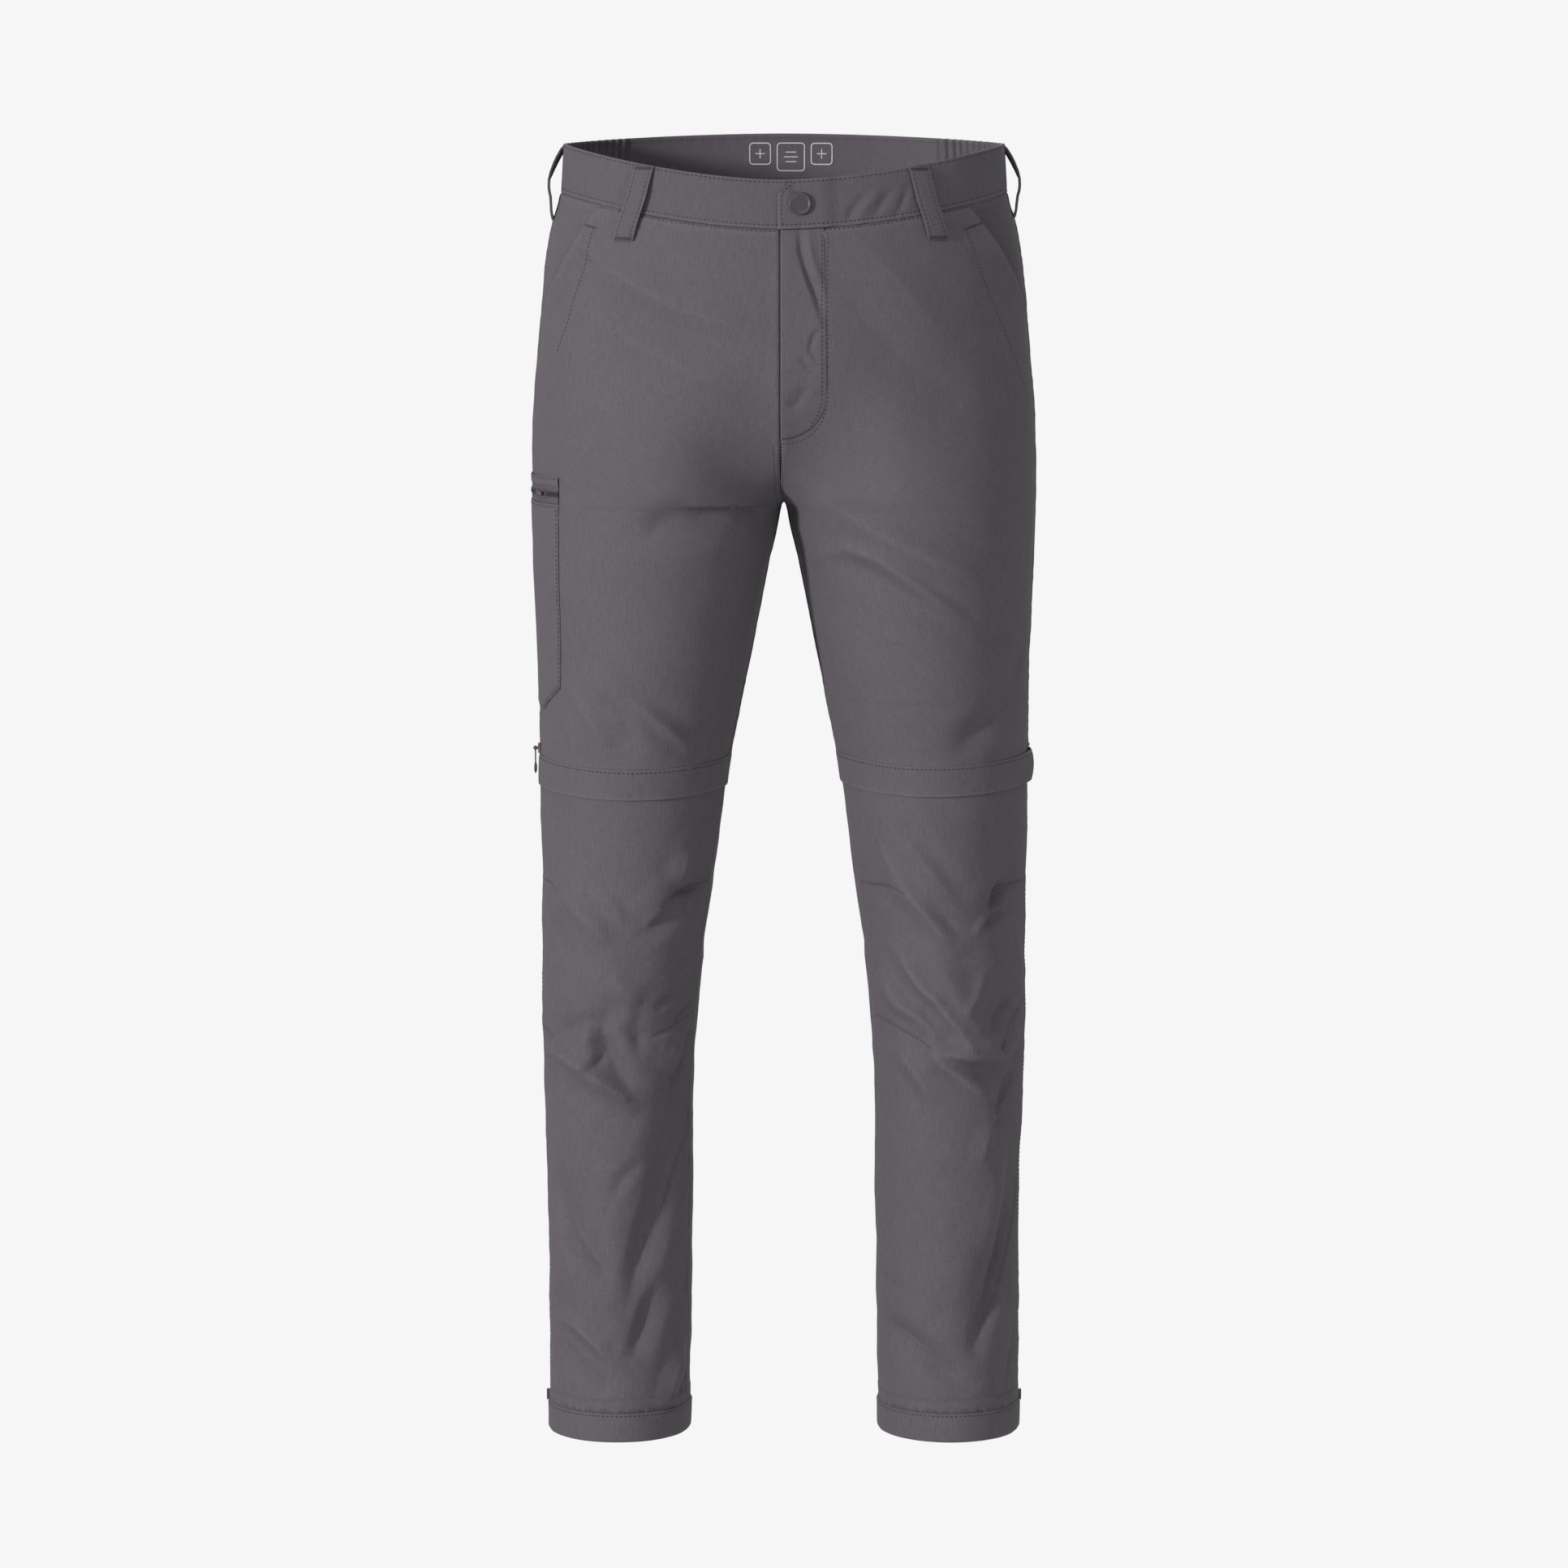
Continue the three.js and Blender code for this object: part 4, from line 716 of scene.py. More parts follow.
# %% Wear and grain, shared by thread, moulded trim and metal
# Edge wear comes from how sharply a surface turns, and the grain from a fine noise.
grain, grain_in, grain_out = new_group(
    "grain",
    [("Place", "Vector"), ("Colour", "Color"), ("Worn", "Color"), ("Size", "Float"),
     ("Amount", "Float")],
    [("Colour", "Color"), ("Height", "Float"), ("Roughness", "Float")],
)
fine = add_node(grain, "ShaderNodeTexNoise", {
    "Vector": grain_in.outputs["Place"], "Scale": grain_in.outputs["Size"], "Detail": 3.0})
broad = add_node(grain, "ShaderNodeTexNoise", {
    "Vector": grain_in.outputs["Place"], "Scale": 240.0, "Detail": 3.0})
geometry = grain.nodes.new("ShaderNodeNewGeometry")
edge = add_node(grain, "ShaderNodeMapRange", {
    "Value": geometry.outputs["Pointiness"], "From Min": 0.52, "From Max": 0.62})
rubbed = sum_up(grain, "MULTIPLY", edge.outputs["Result"],
                sum_up(grain, "MULTIPLY", broad.outputs["Fac"], 1.4))
amount = sum_up(grain, "MULTIPLY", grain_in.outputs["Amount"],
                sum_up(grain, "ADD", rubbed, sum_up(grain, "MULTIPLY", fine.outputs["Fac"], 0.35)))
blended = add_node(grain, "ShaderNodeMix", {
    "Factor": amount, 6: grain_in.outputs["Colour"], 7: grain_in.outputs["Worn"]},
    data_type="RGBA")
grain.links.new(blended.outputs[2], grain_out.inputs["Colour"])
grain.links.new(fine.outputs["Fac"], grain_out.inputs["Height"])
grain.links.new(sum_up(grain, "ADD", sum_up(grain, "MULTIPLY", broad.outputs["Fac"], 0.3), 0.25),
                grain_out.inputs["Roughness"])


GRAIN_DEPTH = 0.0001


def hard_finish(name, colour, wear_and_painted_light, size, amount, bump, metal=0.0, soft=0.0):
    values = {"Colour": (*colour, 1.0), "Worn": (*wear_and_painted_light, 1.0), "Size": size, "Amount": amount}
    return new_finish(name, grain, ("ShaderNodeTexCoord", "Object", {}), values, bump, GRAIN_DEPTH,
                      {"Metallic": metal, "Sheen Weight": soft})[0]


thread = hard_finish("thread", THREAD_WITH_PAINTED_SHADE, (0.055, 0.049, 0.057), 5200.0, 0.3, 0.5, soft=0.1)
moulded = hard_finish("moulded_trim", (0.052, 0.047, 0.053), (0.11, 0.105, 0.115), 2600.0, 0.6,
                      0.25)
gunmetal = hard_finish("slider_metal", (0.060, 0.048, 0.047), (0.42, 0.31, 0.29), 1900.0, 0.7, 0.2,
                       metal=0.6)
ink = hard_finish("label_ink", (0.80, 0.79, 0.81), (0.66, 0.65, 0.67), 3000.0, 0.5, 0.1)
print("hard finishes:", [m.name for m in (thread, moulded, gunmetal, ink)])

# %% [markdown]
# How a cloth piece is made.
# Each piece starts as a flat grid, like a piece cut from the roll. Its points are then laid on the
# form, row by row. Columns and rows crowd together near the edges, where seams and turned edges
# need fine detail. The flat lengths along and across become the cloth's own map, in metres, so the
# weave keeps its size everywhere. A Solidify modifier gives the cloth its thickness, inwards, as in
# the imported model.

# %% Laying a grid of cloth
BODY = "trousers"
CROWDING = 0.62
LEAST_SHEET = 0.0105
FINISHES = {"shell_cloth": shell_cloth, "band_cloth": band_cloth, "dark_trim": trim_cloth}
surfaces = {}


def crowded(count, crowd=CROWDING):
    part = np.linspace(0.0, 1.0, count + 1)
    return part - crowd * np.sin(2 * np.pi * part) / (2 * np.pi)


def lengths_along(points, axis):
    """Length from the first point to each one, along an axis of a grid or a line."""
    steps = np.linalg.norm(np.diff(points, axis=axis), axis=-1)
    start = np.zeros_like(np.take(steps, [0], axis=axis))
    return np.concatenate([start, steps.cumsum(axis=axis)], axis=axis)


def ways_along(side, start, end, height, parts):
    """Ways along each row, evenly spread by length. Also gives each row's length."""
    ways = start + (end - start) * np.linspace(0.0, 1.0, 121)
    lengths = lengths_along(form_point(side, ways, height(ways)), 1)
    total = lengths[:, -1:]
    rows = [np.interp(parts * t[0], a, w) for t, a, w in zip(total, lengths, ways)]
    return np.array(rows), total


def even_ways(side, start, end, height, count):
    """Ways evenly spread by length along one line, and the length up to each."""
    parts = np.linspace(0, 1, count + 1)
    rows, total = ways_along(side, np.array([[start]]), np.array([[end]]), height, parts)
    return rows[0], parts * total[0, 0]


def vertex_places(mesh):
    places = np.empty(len(mesh.vertices) * 3)
    mesh.vertices.foreach_get("co", places)
    return places.reshape(-1, 3)


def cloth_map(mesh, row, column, u, v):
    """Writes the cloth's own map, in metres."""
    corner = np.empty(len(mesh.loops), np.int32)
    mesh.loops.foreach_get("vertex_index", corner)
    uv = np.stack([u[row, column], -v[row, column]], axis=1)[corner] * MM
    mesh.uv_layers.new(name="cloth").data.foreach_set("uv", uv.ravel())


def lay_cloth(name, points, normals, finish, wear, ring, upright):
    rows, columns = points.shape[0] - 1, points.shape[1] - 1
    shape = bmesh.new()
    bmesh.ops.create_grid(shape, x_segments=columns, y_segments=rows, size=0.5)
    piece = new_object(name, shape, finish)
    mesh = piece.data
    flat = vertex_places(mesh)
    column = np.rint((flat[:, 0] + 0.5) * columns).astype(int)
    row = np.rint((0.5 - flat[:, 1]) * rows).astype(int)
    mesh.vertices.foreach_set("co", (points[row, column] * MM).ravel())
    u, v = lengths_along(points, 1), lengths_along(points, 0)
    size = tuple(max(length * MM, LEAST_SHEET) for length in (u[:, -1].max(), v[-1].max()))
    if upright:
        front = np.abs(normals[..., 0]).argmin(axis=1)
        each = np.arange(rows + 1)
        u = u - u[each, front][:, None] + points[each, front, 0][:, None]
        v = -points[..., 2]
    cloth_map(mesh, row, column, u, v)
    # Each point's tone, which paints light and shade and pales seams and edges.
    marks = mesh.attributes.new("wear", "FLOAT", "POINT")
    marks.data.foreach_set("value", np.broadcast_to(wear, points.shape[:2])[row, column])
    mesh.update()
    middle = np.array(mesh.polygons[len(mesh.polygons) // 2].normal)
    if middle @ normals[rows // 2, columns // 2] < 0:
        mesh.flip_normals()
    if ring:
        shape = bmesh.new()
        shape.from_mesh(mesh)
        bmesh.ops.remove_doubles(shape, verts=shape.verts, dist=1e-6)
        shape.to_mesh(mesh)
        shape.free()
    mesh.shade_smooth()
    return piece, size


def thicken(piece, thickness, offset):
    wall = piece.modifiers.new("thickness", "SOLIDIFY")
    wall.thickness = thickness * MM
    wall.offset = offset


def cloth_piece(node, slot, held, points, normals, thickness, rests_on=(), wear=0.0, ring=False,
                bevel=0.0, upright=False):
    piece, size = lay_cloth(
        node + "_cloth", points, normals, FINISHES[slot], wear, ring, upright)
    thicken(piece, thickness, -1.0)
    if bevel:
        edge = piece.modifiers.new("rounded_edge", "BEVEL")
        edge.width = bevel * MM
        edge.segments = 2
        edge.limit_method = "ANGLE"
        edge.angle_limit = math.radians(55)
    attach(piece, BODY)
    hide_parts(node)
    surfaces[node] = piece


print("a row of 6 crowds to:", crowded(6).round(2))

# %% [markdown]
# The leg panels.
# Each leg has a front and a back panel above the zip, and the same below it. A flat-felled seam
# joins them: the edge of each panel dips into the seam, stands a little proud over the folded
# allowance beside it, and puckers where the thread has drawn the cloth up. The same edge shape is
# used for all panels, so their seams match.

# %% Shape of a panel beside its seams
FRONT_SPACING = 2.6
KNEE_SPACING = 1.9
BACK_SPACING = 3.9
SEAM = 0.3
CLOTH = 1.2
BAND_HEIGHT = 40.0
FRONT_DIP = 26.0
BACK_RISE = 6.0
HIP_ROWS = 12
THIGH_ROWS = 9


def puckers(run, seed):
    starts = np.random.default_rng(seed).uniform(0, 2 * np.pi, 4)
    waves = sum(np.sin(2 * np.pi * run / length + start)
                for length, start in zip((9.1, 13.7, 6.3, 31.0), starts))
    return waves / 4


def seam_edge(distance, run, seed, dip):
    groove = -dip * bell(distance, 0, 1.5)
    allowance = 0.35 * bell(distance, 5.0, 3.4)
    drawn = 0.5 * puckers(run, seed) * np.exp(-distance / 6.5)
    return groove + allowance + drawn


def band_top(way):
    turn = np.mod(way, 2.0)
    t = np.where(turn > 1, 2 - turn, turn)
    reach = (1 + np.cos(np.pi * t)) / 2
    return np.where(turn > 1, BACK_RISE, -FRONT_DIP) * (1 - reach**1.7)


def inseam_way(z):
    return 1 - 0.1 * soft_step((-360 - z) / 260)


def side_way(z):
    return 0.05 * soft_step((-520 - z) / 120)


def mouth_way(z):
    return 0.257 * np.clip((z + 140) / 79, 0, 1.3) ** 0.65


def upper_height(row, way):
    hip = mix(band_top(way) - BAND_HEIGHT, CROTCH, row / HIP_ROWS)
    return np.where(row <= HIP_ROWS, hip, mix(CROTCH, ZIP_LINE, (row - HIP_ROWS) / THIGH_ROWS))


def level_height(level, way):
    return np.broadcast_to(level, way.shape)


def lower_height(row, way):
    return level_height(mix(ZIP_LINE, HEM_TOP, row), way)


def stay_on_side(points, side, way, z):
    """Keeps a panel on its own side of the centre seam."""
    down = np.clip((FRONT_CURVE_TOP - z) / (FRONT_CURVE_TOP - CROTCH), 0, 1)
    shift = np.where((z > CROTCH) & (way <= 1), FLY_SHIFT * soft_step((1 - down) * 3), 0.0)
    reach = np.maximum((points[..., 0] + shift) * side, SEAM / 2)
    points[..., 0] = reach * side - shift
    return points


def trimmed(points):
    """Draws the first and last columns back by half a seam, so neighbours don't touch."""
    for edge, beside in ((0, 1), (-1, -2)):
        step = points[:, beside] - points[:, edge]
        length = np.maximum(np.linalg.norm(step, axis=1, keepdims=True), 1e-6)
        points[:, edge] += step / length * (SEAM / 2)
    return points


def panel(node, side, rows, level, start, end, spacing, width, seeds, dips, out=None,
          one_side=False, painted_light_and_shade=0.0):
    """A leg panel between two ways. Seeds and dips are for its start, end, top and bottom."""
    height = partial(level, rows)
    parts = crowded(int(width / spacing))
    ways, total = ways_along(side, start, end, height, parts)
    z = height(ways)
    real_z = form_point(side, ways, z)[..., 2]
    from_start = parts * total
    distances = [from_start, (1 - parts) * total, real_z[:1] - real_z, real_z - real_z[-1:]]
    runs = [-real_z, -real_z, from_start, from_start]
    lift = sum(seam_edge(*edge) for edge in zip(distances, runs, seeds, dips))
    if out:
        lift = lift + out(ways, z, rows, start)
    points, normals = cloth_point(side, ways, z, lift)
    if one_side:
        points = stay_on_side(points, side, ways, z)
    points = trimmed(points)
    # Paler along the seams, with painted shade on a pocket piece and, on the fronts, painted
    # highlights on crests and painted shade in troughs.
    wear = 0.6 * bell(np.minimum.reduce(distances), 3.0, 2.5) + painted_light_and_shade
    if start.mean() < 1:
        wear = wear + crest_wear(FRONT_CREASES, points[..., 0], points[..., 2])
    cloth_piece(node, "shell_cloth", "hung", points, normals, CLOTH, wear=wear, upright=True)


print("puckers along 20 mm of seam:", puckers(np.arange(0, 20, 5), 21).round(2))

# %% Front panels of the upper legs, with the slanted pocket mouths
MOUTH_GAPE = {"right": 1.0, "left": 3.6}
GAPE_ROWS = 5
UPPER_LENGTH = 455


def upper_rows(spacing):
    return crowded(int(UPPER_LENGTH / spacing), 0.5)[:, None] * (HIP_ROWS + THIGH_ROWS)


def inseam_end(rows):
    return inseam_way(upper_height(rows, np.ones_like(rows)))


def mouth_start(rows):
    """Way of the slanted pocket mouth on each row, found in two steps."""
    first = mouth_way(upper_height(rows, np.full_like(rows, 0.1)))
    return mouth_way(upper_height(rows, first))


def gape(wide, ways, z, rows, start):
    open_by = np.sin(np.pi * np.clip(rows, 0, GAPE_ROWS) / GAPE_ROWS)
    folded = 0.55 * soft_step(rows / 0.4) * soft_step((GAPE_ROWS - rows) / 0.8)
    return wide * open_by * bell(ways, start, 0.06) + folded * bell(ways, start, 0.016, 4)


rows = upper_rows(FRONT_SPACING)
for name, side in SIDES.items():
    panel(f"front_upper_{name}", side, rows, upper_height, mouth_start(rows), inseam_end(rows),
          FRONT_SPACING, 285.0, (21 + side, 31, 41 + side, 51 + side), (0.3, 1.0, 0.9, 0.3),
          out=partial(gape, MOUTH_GAPE[name]), one_side=True)

# %% Back panels of the upper legs
PAST_SEAM = 1.000001
rows = upper_rows(BACK_SPACING)
start = np.where(rows < HIP_ROWS, PAST_SEAM, inseam_end(rows))
for name, side in SIDES.items():
    panel(f"back_upper_{name}", side, rows, upper_height, start, np.full_like(start, 2.0),
          BACK_SPACING, 330.0, (61, 71 + side, 81 + side, 91 + side), (1.0, 0.8, 0.9, 0.3),
          one_side=True)

# %% Pieces behind the slanted pocket mouths
MOUTH_TUCK = 0.075
TUCK_DEPTH = 1.5
# Painted shade: the left pocket piece is darkened as if in the shadow of the mouth's edge.
MOUTH_PAINTED_SHADE = {"right": 0.0, "left": -1.3}
rows = np.linspace(0, 6, 50)[:, None]
mouth = mouth_start(rows)


def tuck(ways, z, rows, start):
    return -TUCK_DEPTH * soft_step((ways - (mouth - 0.05)) / 0.04) * soft_step(rows / 0.3)


for name, side in SIDES.items():
    panel(f"hip_pocket_piece_{name}", side, rows, upper_height, np.zeros_like(mouth),
          mouth + MOUTH_TUCK, 2.4, 100.0, (101 + side, 111, 121, 131), (0.8, 0.0, 0.0, 0.0),
          out=tuck, painted_light_and_shade=MOUTH_PAINTED_SHADE[name])

# %% [markdown]
# The lower legs.
# Each lower front is one piece. Four darts shape its knee: short seams that run in from the side
# and the inseam and end in the cloth. A dart shows as a groove with stitches beside it, and the
# cloth breaks into a crease where it ends. The grooves are pressed into the panel's own grid.

# %% Knee darts, from the edge of the panel to the dart's end
LOWER_LENGTH = 538
DARTS = {
    "right": [
        [(-198, -608), (-192, -609), (-185, -614)],
        [(-60, -607), (-72, -612), (-86, -614), (-101, -625)],
        [(-199, -733), (-195, -733), (-189, -739)],
        [(-74, -717), (-83, -723), (-100, -730), (-109, -734)],
    ],
    "left": [
        [(63, -609), (77, -608), (90, -608), (102, -612)],
        [(200, -609), (192, -608), (184, -610), (179, -619)],
        [(73, -720), (90, -725), (106, -733), (122, -741)],
        [(200, -708), (191, -718), (184, -731), (178, -742)],
    ],
}


def darts(name, side, ways, z, rows, start):
    place = form_point(side, ways, z)
    grooves = [(-1.2, 2.2, 2.2, path) for path in DARTS[name]]
    lips = [(0.5, 3.0, 14.0, path) for path in DARTS[name]]
    return sum(crease_relief(lines, place[..., 0], place[..., 2]) for lines in (grooves, lips))


def lower_rows(spacing):
    rows = crowded(int(LOWER_LENGTH / spacing), 0.35)[:, None]
    return rows, mix(ZIP_LINE, HEM_TOP, rows)


rows, z = lower_rows(KNEE_SPACING)
for name, side in SIDES.items():
    panel(f"front_lower_{name}", side, rows, lower_height, side_way(z), inseam_way(z),
          KNEE_SPACING, 225.0, (141 + side, 151 + side, 161, 171), (0.9, 0.9, 0.2, 0.1),
          out=partial(darts, name, side))

# %% Lower backs
rows, z = lower_rows(BACK_SPACING)
for name, side in SIDES.items():
    panel(f"back_lower_{name}", side, rows, lower_height, inseam_way(z), 2 + side_way(z),
          BACK_SPACING, 245.0, (181 + side, 191 + side, 201, 211), (0.9, 0.9, 0.2, 0.1))

# %% [markdown]
# The hems.
# Each hem is turned up inside and sewn down in a ring about two centimetres above the edge. The
# edge is a soft fold, so the ring has a rounded lower edge and a slight wave. The turned-up cloth
# goes on behind the leg panel, so no gap shows between the two.

# %% Hems
HEM_CLOTH = 1.8
HEM_COLUMNS = 190
HIDDEN_ROWS = [-0.6, -0.3, -0.07, -0.012]
rows = np.concatenate([HIDDEN_ROWS, crowded(16, 0.5)])[:, None]
z_rows = mix(HEM_TOP - SEAM, HEM_BOTTOM, rows)
full = 0.15 * np.sin(np.pi * np.clip(rows, 0, 1)) ** 0.7 - 1.45 * (rows < 0)
start = np.full_like(z_rows, float(side_way(HEM_TOP)))
parts = np.linspace(0, 1, HEM_COLUMNS + 1)
for name, side in SIDES.items():
    ways, total = ways_along(side, start, start + 2, partial(level_height, z_rows), parts)
    z = level_height(z_rows, ways)
    fold = -0.9 * soft_step((HEM_BOTTOM + 1.6 - z) / 1.6)
    drawn = 0.3 * puckers(parts * total, 220 + side) * np.exp(np.minimum(z - HEM_TOP, 0) / 5.0)
    points, normals = cloth_point(side, ways, z, full + fold + drawn)
    points[:, -1] = points[:, 0]
    cloth_piece(f"hem_{name}", "shell_cloth", "hung", points, normals, HEM_CLOTH,
                wear=bell(z, HEM_BOTTOM, 2.0), ring=True)

# %% [markdown]
# The waistband.
# It is a folded strip of the same cloth, 4 cm high. Its left front end is a tab with a slanted
# corner that closes over the right one with a press stud. The back is plain in the middle and
# gathered over elastic at both sides. The top edge is a fold, so it is rounded by a small bevel.

# %% Front of the waistband: the right side, and the left side with its tab
BAND_CLOTH = 2.0
LAY = 0.5
TAB_REACH = 2.0
TAB_CORNER = 12.0
TAB_OUT = BAND_CLOTH + LAY
RAMP_X = 46.0
UNDERLAP = 24.0
BAND_ROWS = 30
BAND_LEVEL = -30.0
THREAD_ROWS = (2.2, 36.6)


def band_relief(part, run, seed):
    """Height of a band's face: part runs from 0 at its top to 1 at its bottom."""
    down = part * BAND_HEIGHT
    crown = 0.45 * np.sin(np.pi * part) ** 0.6
    threads = -0.35 * sum(bell(down, row, 1.1) for row in THREAD_ROWS)
    drawn = 0.28 * puckers(run, seed) * (np.exp(-down / 9) + np.exp(-(BAND_HEIGHT - down) / 9))
    return crown + threads + drawn


def band(node, side, ways, run, seed, out=0.0, cut=0.0, thickness=BAND_CLOTH, held="stretched",
         painted_light_and_shade=0.0):
    """A stretch of band over the given ways. Cut lowers its top, and the last argument paints light
    and shade into its colour.
    """
    part = crowded(BAND_ROWS, 0.6)[:, None]
    down = part * BAND_HEIGHT
    top = band_top(ways)
    z = mix(top - cut, top - BAND_HEIGHT + SEAM / 2, part)
    points, normals = cloth_point(side, ways, z, out + band_relief(part, run, seed))
    # Painted highlights along the folded top edge and, more faintly, just above the lower edge.
    wear = bell(down, 0, 1.4) + 0.5 * bell(down, 38.5, 1.5) + painted_light_and_shade
    cloth_piece(node, "band_cloth", held, points, normals, thickness, wear=wear, bevel=0.5)


ways, run = even_ways(-1, 0.0, 1.0, band_top, 120)
under_x = np.linspace(1.0, UNDERLAP, 14)
band("waistband_front_right",
     np.concatenate([np.full(len(ways), -1.0), np.ones(len(under_x))]),
     np.concatenate([ways, way_at(under_x, BAND_LEVEL)]),
     np.concatenate([run, run[-1] + under_x]), 301)

# the left band runs level, rises over a ramp and ends in the tab
ways, run = even_ways(1, 0.0, float(way_at(RAMP_X, BAND_LEVEL)), band_top, 90)
unraised = np.zeros(len(ways))
tab_x = np.linspace(RAMP_X - 1, -TAB_REACH, 42)
beyond = np.clip((TAB_CORNER - TAB_REACH - tab_x) / TAB_CORNER, 0, 1)
band("waistband_front_left",
     np.concatenate([unraised + 1, np.where(tab_x < 0, -1.0, 1.0)]),
     np.concatenate([ways, way_at(np.abs(tab_x), BAND_LEVEL)]),
     np.concatenate([run, run[-1] + RAMP_X - tab_x]), 302,
     out=np.concatenate([unraised, TAB_OUT * soft_step((RAMP_X - tab_x) / 14.0)]),
     cut=np.concatenate([unraised, TAB_CORNER * beyond]),
     # painted highlight along the edge of the tab
     painted_light_and_shade=np.concatenate([unraised, 2.2 * bell(tab_x, -TAB_REACH, 1.5)]))

# %% Gathered sides and plain back of the waistband
ELASTIC_END = 1.64
GATHERS = 13
GATHER_CLOTH = 1.6
GATHER_DEPTH = 1.3
GATHER_STEPS = 12

for name, side in SIDES.items():
    ways, run = even_ways(side, 2.0, ELASTIC_END, band_top, GATHERS * GATHER_STEPS)
    part = np.linspace(0, 1, len(ways))
    uneven = np.random.default_rng(310 + side).uniform(-1, 1, GATHERS + 2)
    drift = np.interp(part * GATHERS, np.arange(GATHERS + 2), uneven)
    wave = np.sin(2 * np.pi * (part * GATHERS + 0.10 * drift))
    wave = 2 * (0.5 - 0.5 * wave) ** 1.8 - 1
    fade = np.clip(np.minimum(part, 1 - part) * GATHERS * 1.33, 0, 1)
    band(f"waistband_elastic_{name}", side, ways, run, 320 + side,
         out=GATHER_DEPTH * wave * (1 + 0.2 * drift) * fade, thickness=GATHER_CLOTH,
         # painted light over the whole elastic, and painted shade in stripes along the gathers
         held="gathered", painted_light_and_shade=1.0 - 2.7 * fade * np.maximum(wave, 0) ** 1.5)

ways, run = even_ways(-1, ELASTIC_END, PAST_SEAM, band_top, 60)
# Painted light: the plain back is made paler all over.
band("waistband_back",
     np.concatenate([np.full(len(ways), -1.0), np.ones(len(ways) - 1)]),
     np.concatenate([ways, ways[-2::-1]]),
     np.concatenate([run, 2 * run[-1] - run[-2::-1]]), 330, painted_light_and_shade=1.3)

# %% [markdown]
# The belt loops.
# Each loop is a narrow strip folded in three and sewn flat, with two rows of stitches along it and a
# dense bar tack at each end. Between the tacks it bows away from the band. Its edges are pressed a
# little lower than its middle.

# %% Belt loops
LOOP_CLOTH = 1.4
LOOP_WIDTH = {"front": 18.0, "side": 12.5, "back": 15.0}
LOOPS = [
    # node, half, place, distance out at its top and bottom, length, bow
    ("belt_loop_front_right", -1, "front", 114.0, 124.0, 63.0, 3.4),
    ("belt_loop_front_left", 1, "front", 110.0, 119.0, 61.0, 3.4),
    ("belt_loop_side_right", -1, "side", 179.5, 187.0, 62.0, 9.0),
    ("belt_loop_side_left", 1, "side", 179.5, 187.0, 60.0, 9.5),
]
LOOP_LEVEL = -40.0
LOOP_V = np.linspace(0, 1, 65)[:, None]
LOOP_K = np.linspace(-1, 1, 19)[None]


def across_back(x, z):
    """Side and way of places across the middle of the back."""
    ways = np.where(np.abs(x) < 0.01, PAST_SEAM, 2 - way_at(np.abs(x), z))
    return np.where(x < 0, -1.0, 1.0), ways


def loop_shape(v, k):
    crown = 0.35 * (1 - k**4) - 0.3 * bell(np.abs(k), 0.68, 0.12)
    tack = -0.5 * (bell(v, 0.03, 0.022) + bell(v, 0.97, 0.022))
    return crown + tack + 0.12 * puckers(v * 60, 340)


def loop_middle(side, place, x_top, x_bottom, v):
    """Way of a loop's middle line, and how much of a way half its width takes."""
    near = way_at(mix(x_top, x_bottom, v), LOOP_LEVEL)
    middle = 2 - near if place == "side" else near
    beside = form_point(side, middle + 0.01, LOOP_LEVEL) - form_point(side, middle, LOOP_LEVEL)
    return middle, LOOP_WIDTH[place] / 2 / (np.linalg.norm(beside, axis=-1) / 0.01)


def loop_out(bow, v):
    return LOOP_CLOTH + LAY + bow * np.sin(np.pi * v) ** 0.8


def loop_cloth(node, side, ways, z, out):
    lift = out + loop_shape(LOOP_V, LOOP_K)
    points, normals = cloth_point(side, ways, np.broadcast_to(z, lift.shape), lift)
    cloth_piece(node, "band_cloth", "stretched", points, normals, LOOP_CLOTH,
                wear=bell(np.abs(LOOP_K), 0.95, 0.08), bevel=0.45)


for node, side, place, x_top, x_bottom, length, bow in LOOPS:
    middle, half = loop_middle(side, place, x_top, x_bottom, LOOP_V)
    z = band_top(middle) - 1 - length * LOOP_V
    seat = GATHER_DEPTH * (place == "side") * soft_step((z + BAND_HEIGHT + 14) / 20)
    loop_cloth(node, side, middle + LOOP_K * half, z, loop_out(bow, LOOP_V) + seat)

# the centre-back loop crosses the middle plane
side, ways = across_back(LOOP_K * LOOP_WIDTH["back"] / 2, -20.0)
loop_cloth("belt_loop_back", side, ways, BACK_RISE - 1 - 60.0 * LOOP_V, loop_out(5.8, LOOP_V))

# %% [markdown]
# The fly.
# The left front laps over the right one and is sewn down along a J. The lap's free edge stands
# proud along the centre line, while the cloth is almost flush where the J is sewn, so only the edge
# casts a shadow. The zip behind it doesn't show.

# %% Fly lap
FLY_WIDTH = 36.0
FLY_STRAIGHT = -199.0
FLY_CURVE = 39.0
FLY_CLOTH = 0.8


def level_at(side, way, wanted):
    level = np.array(wanted, float)
    for _ in range(30):
        level = level + 0.5 * (wanted - form_point(side, way, level)[..., 2])
    return level


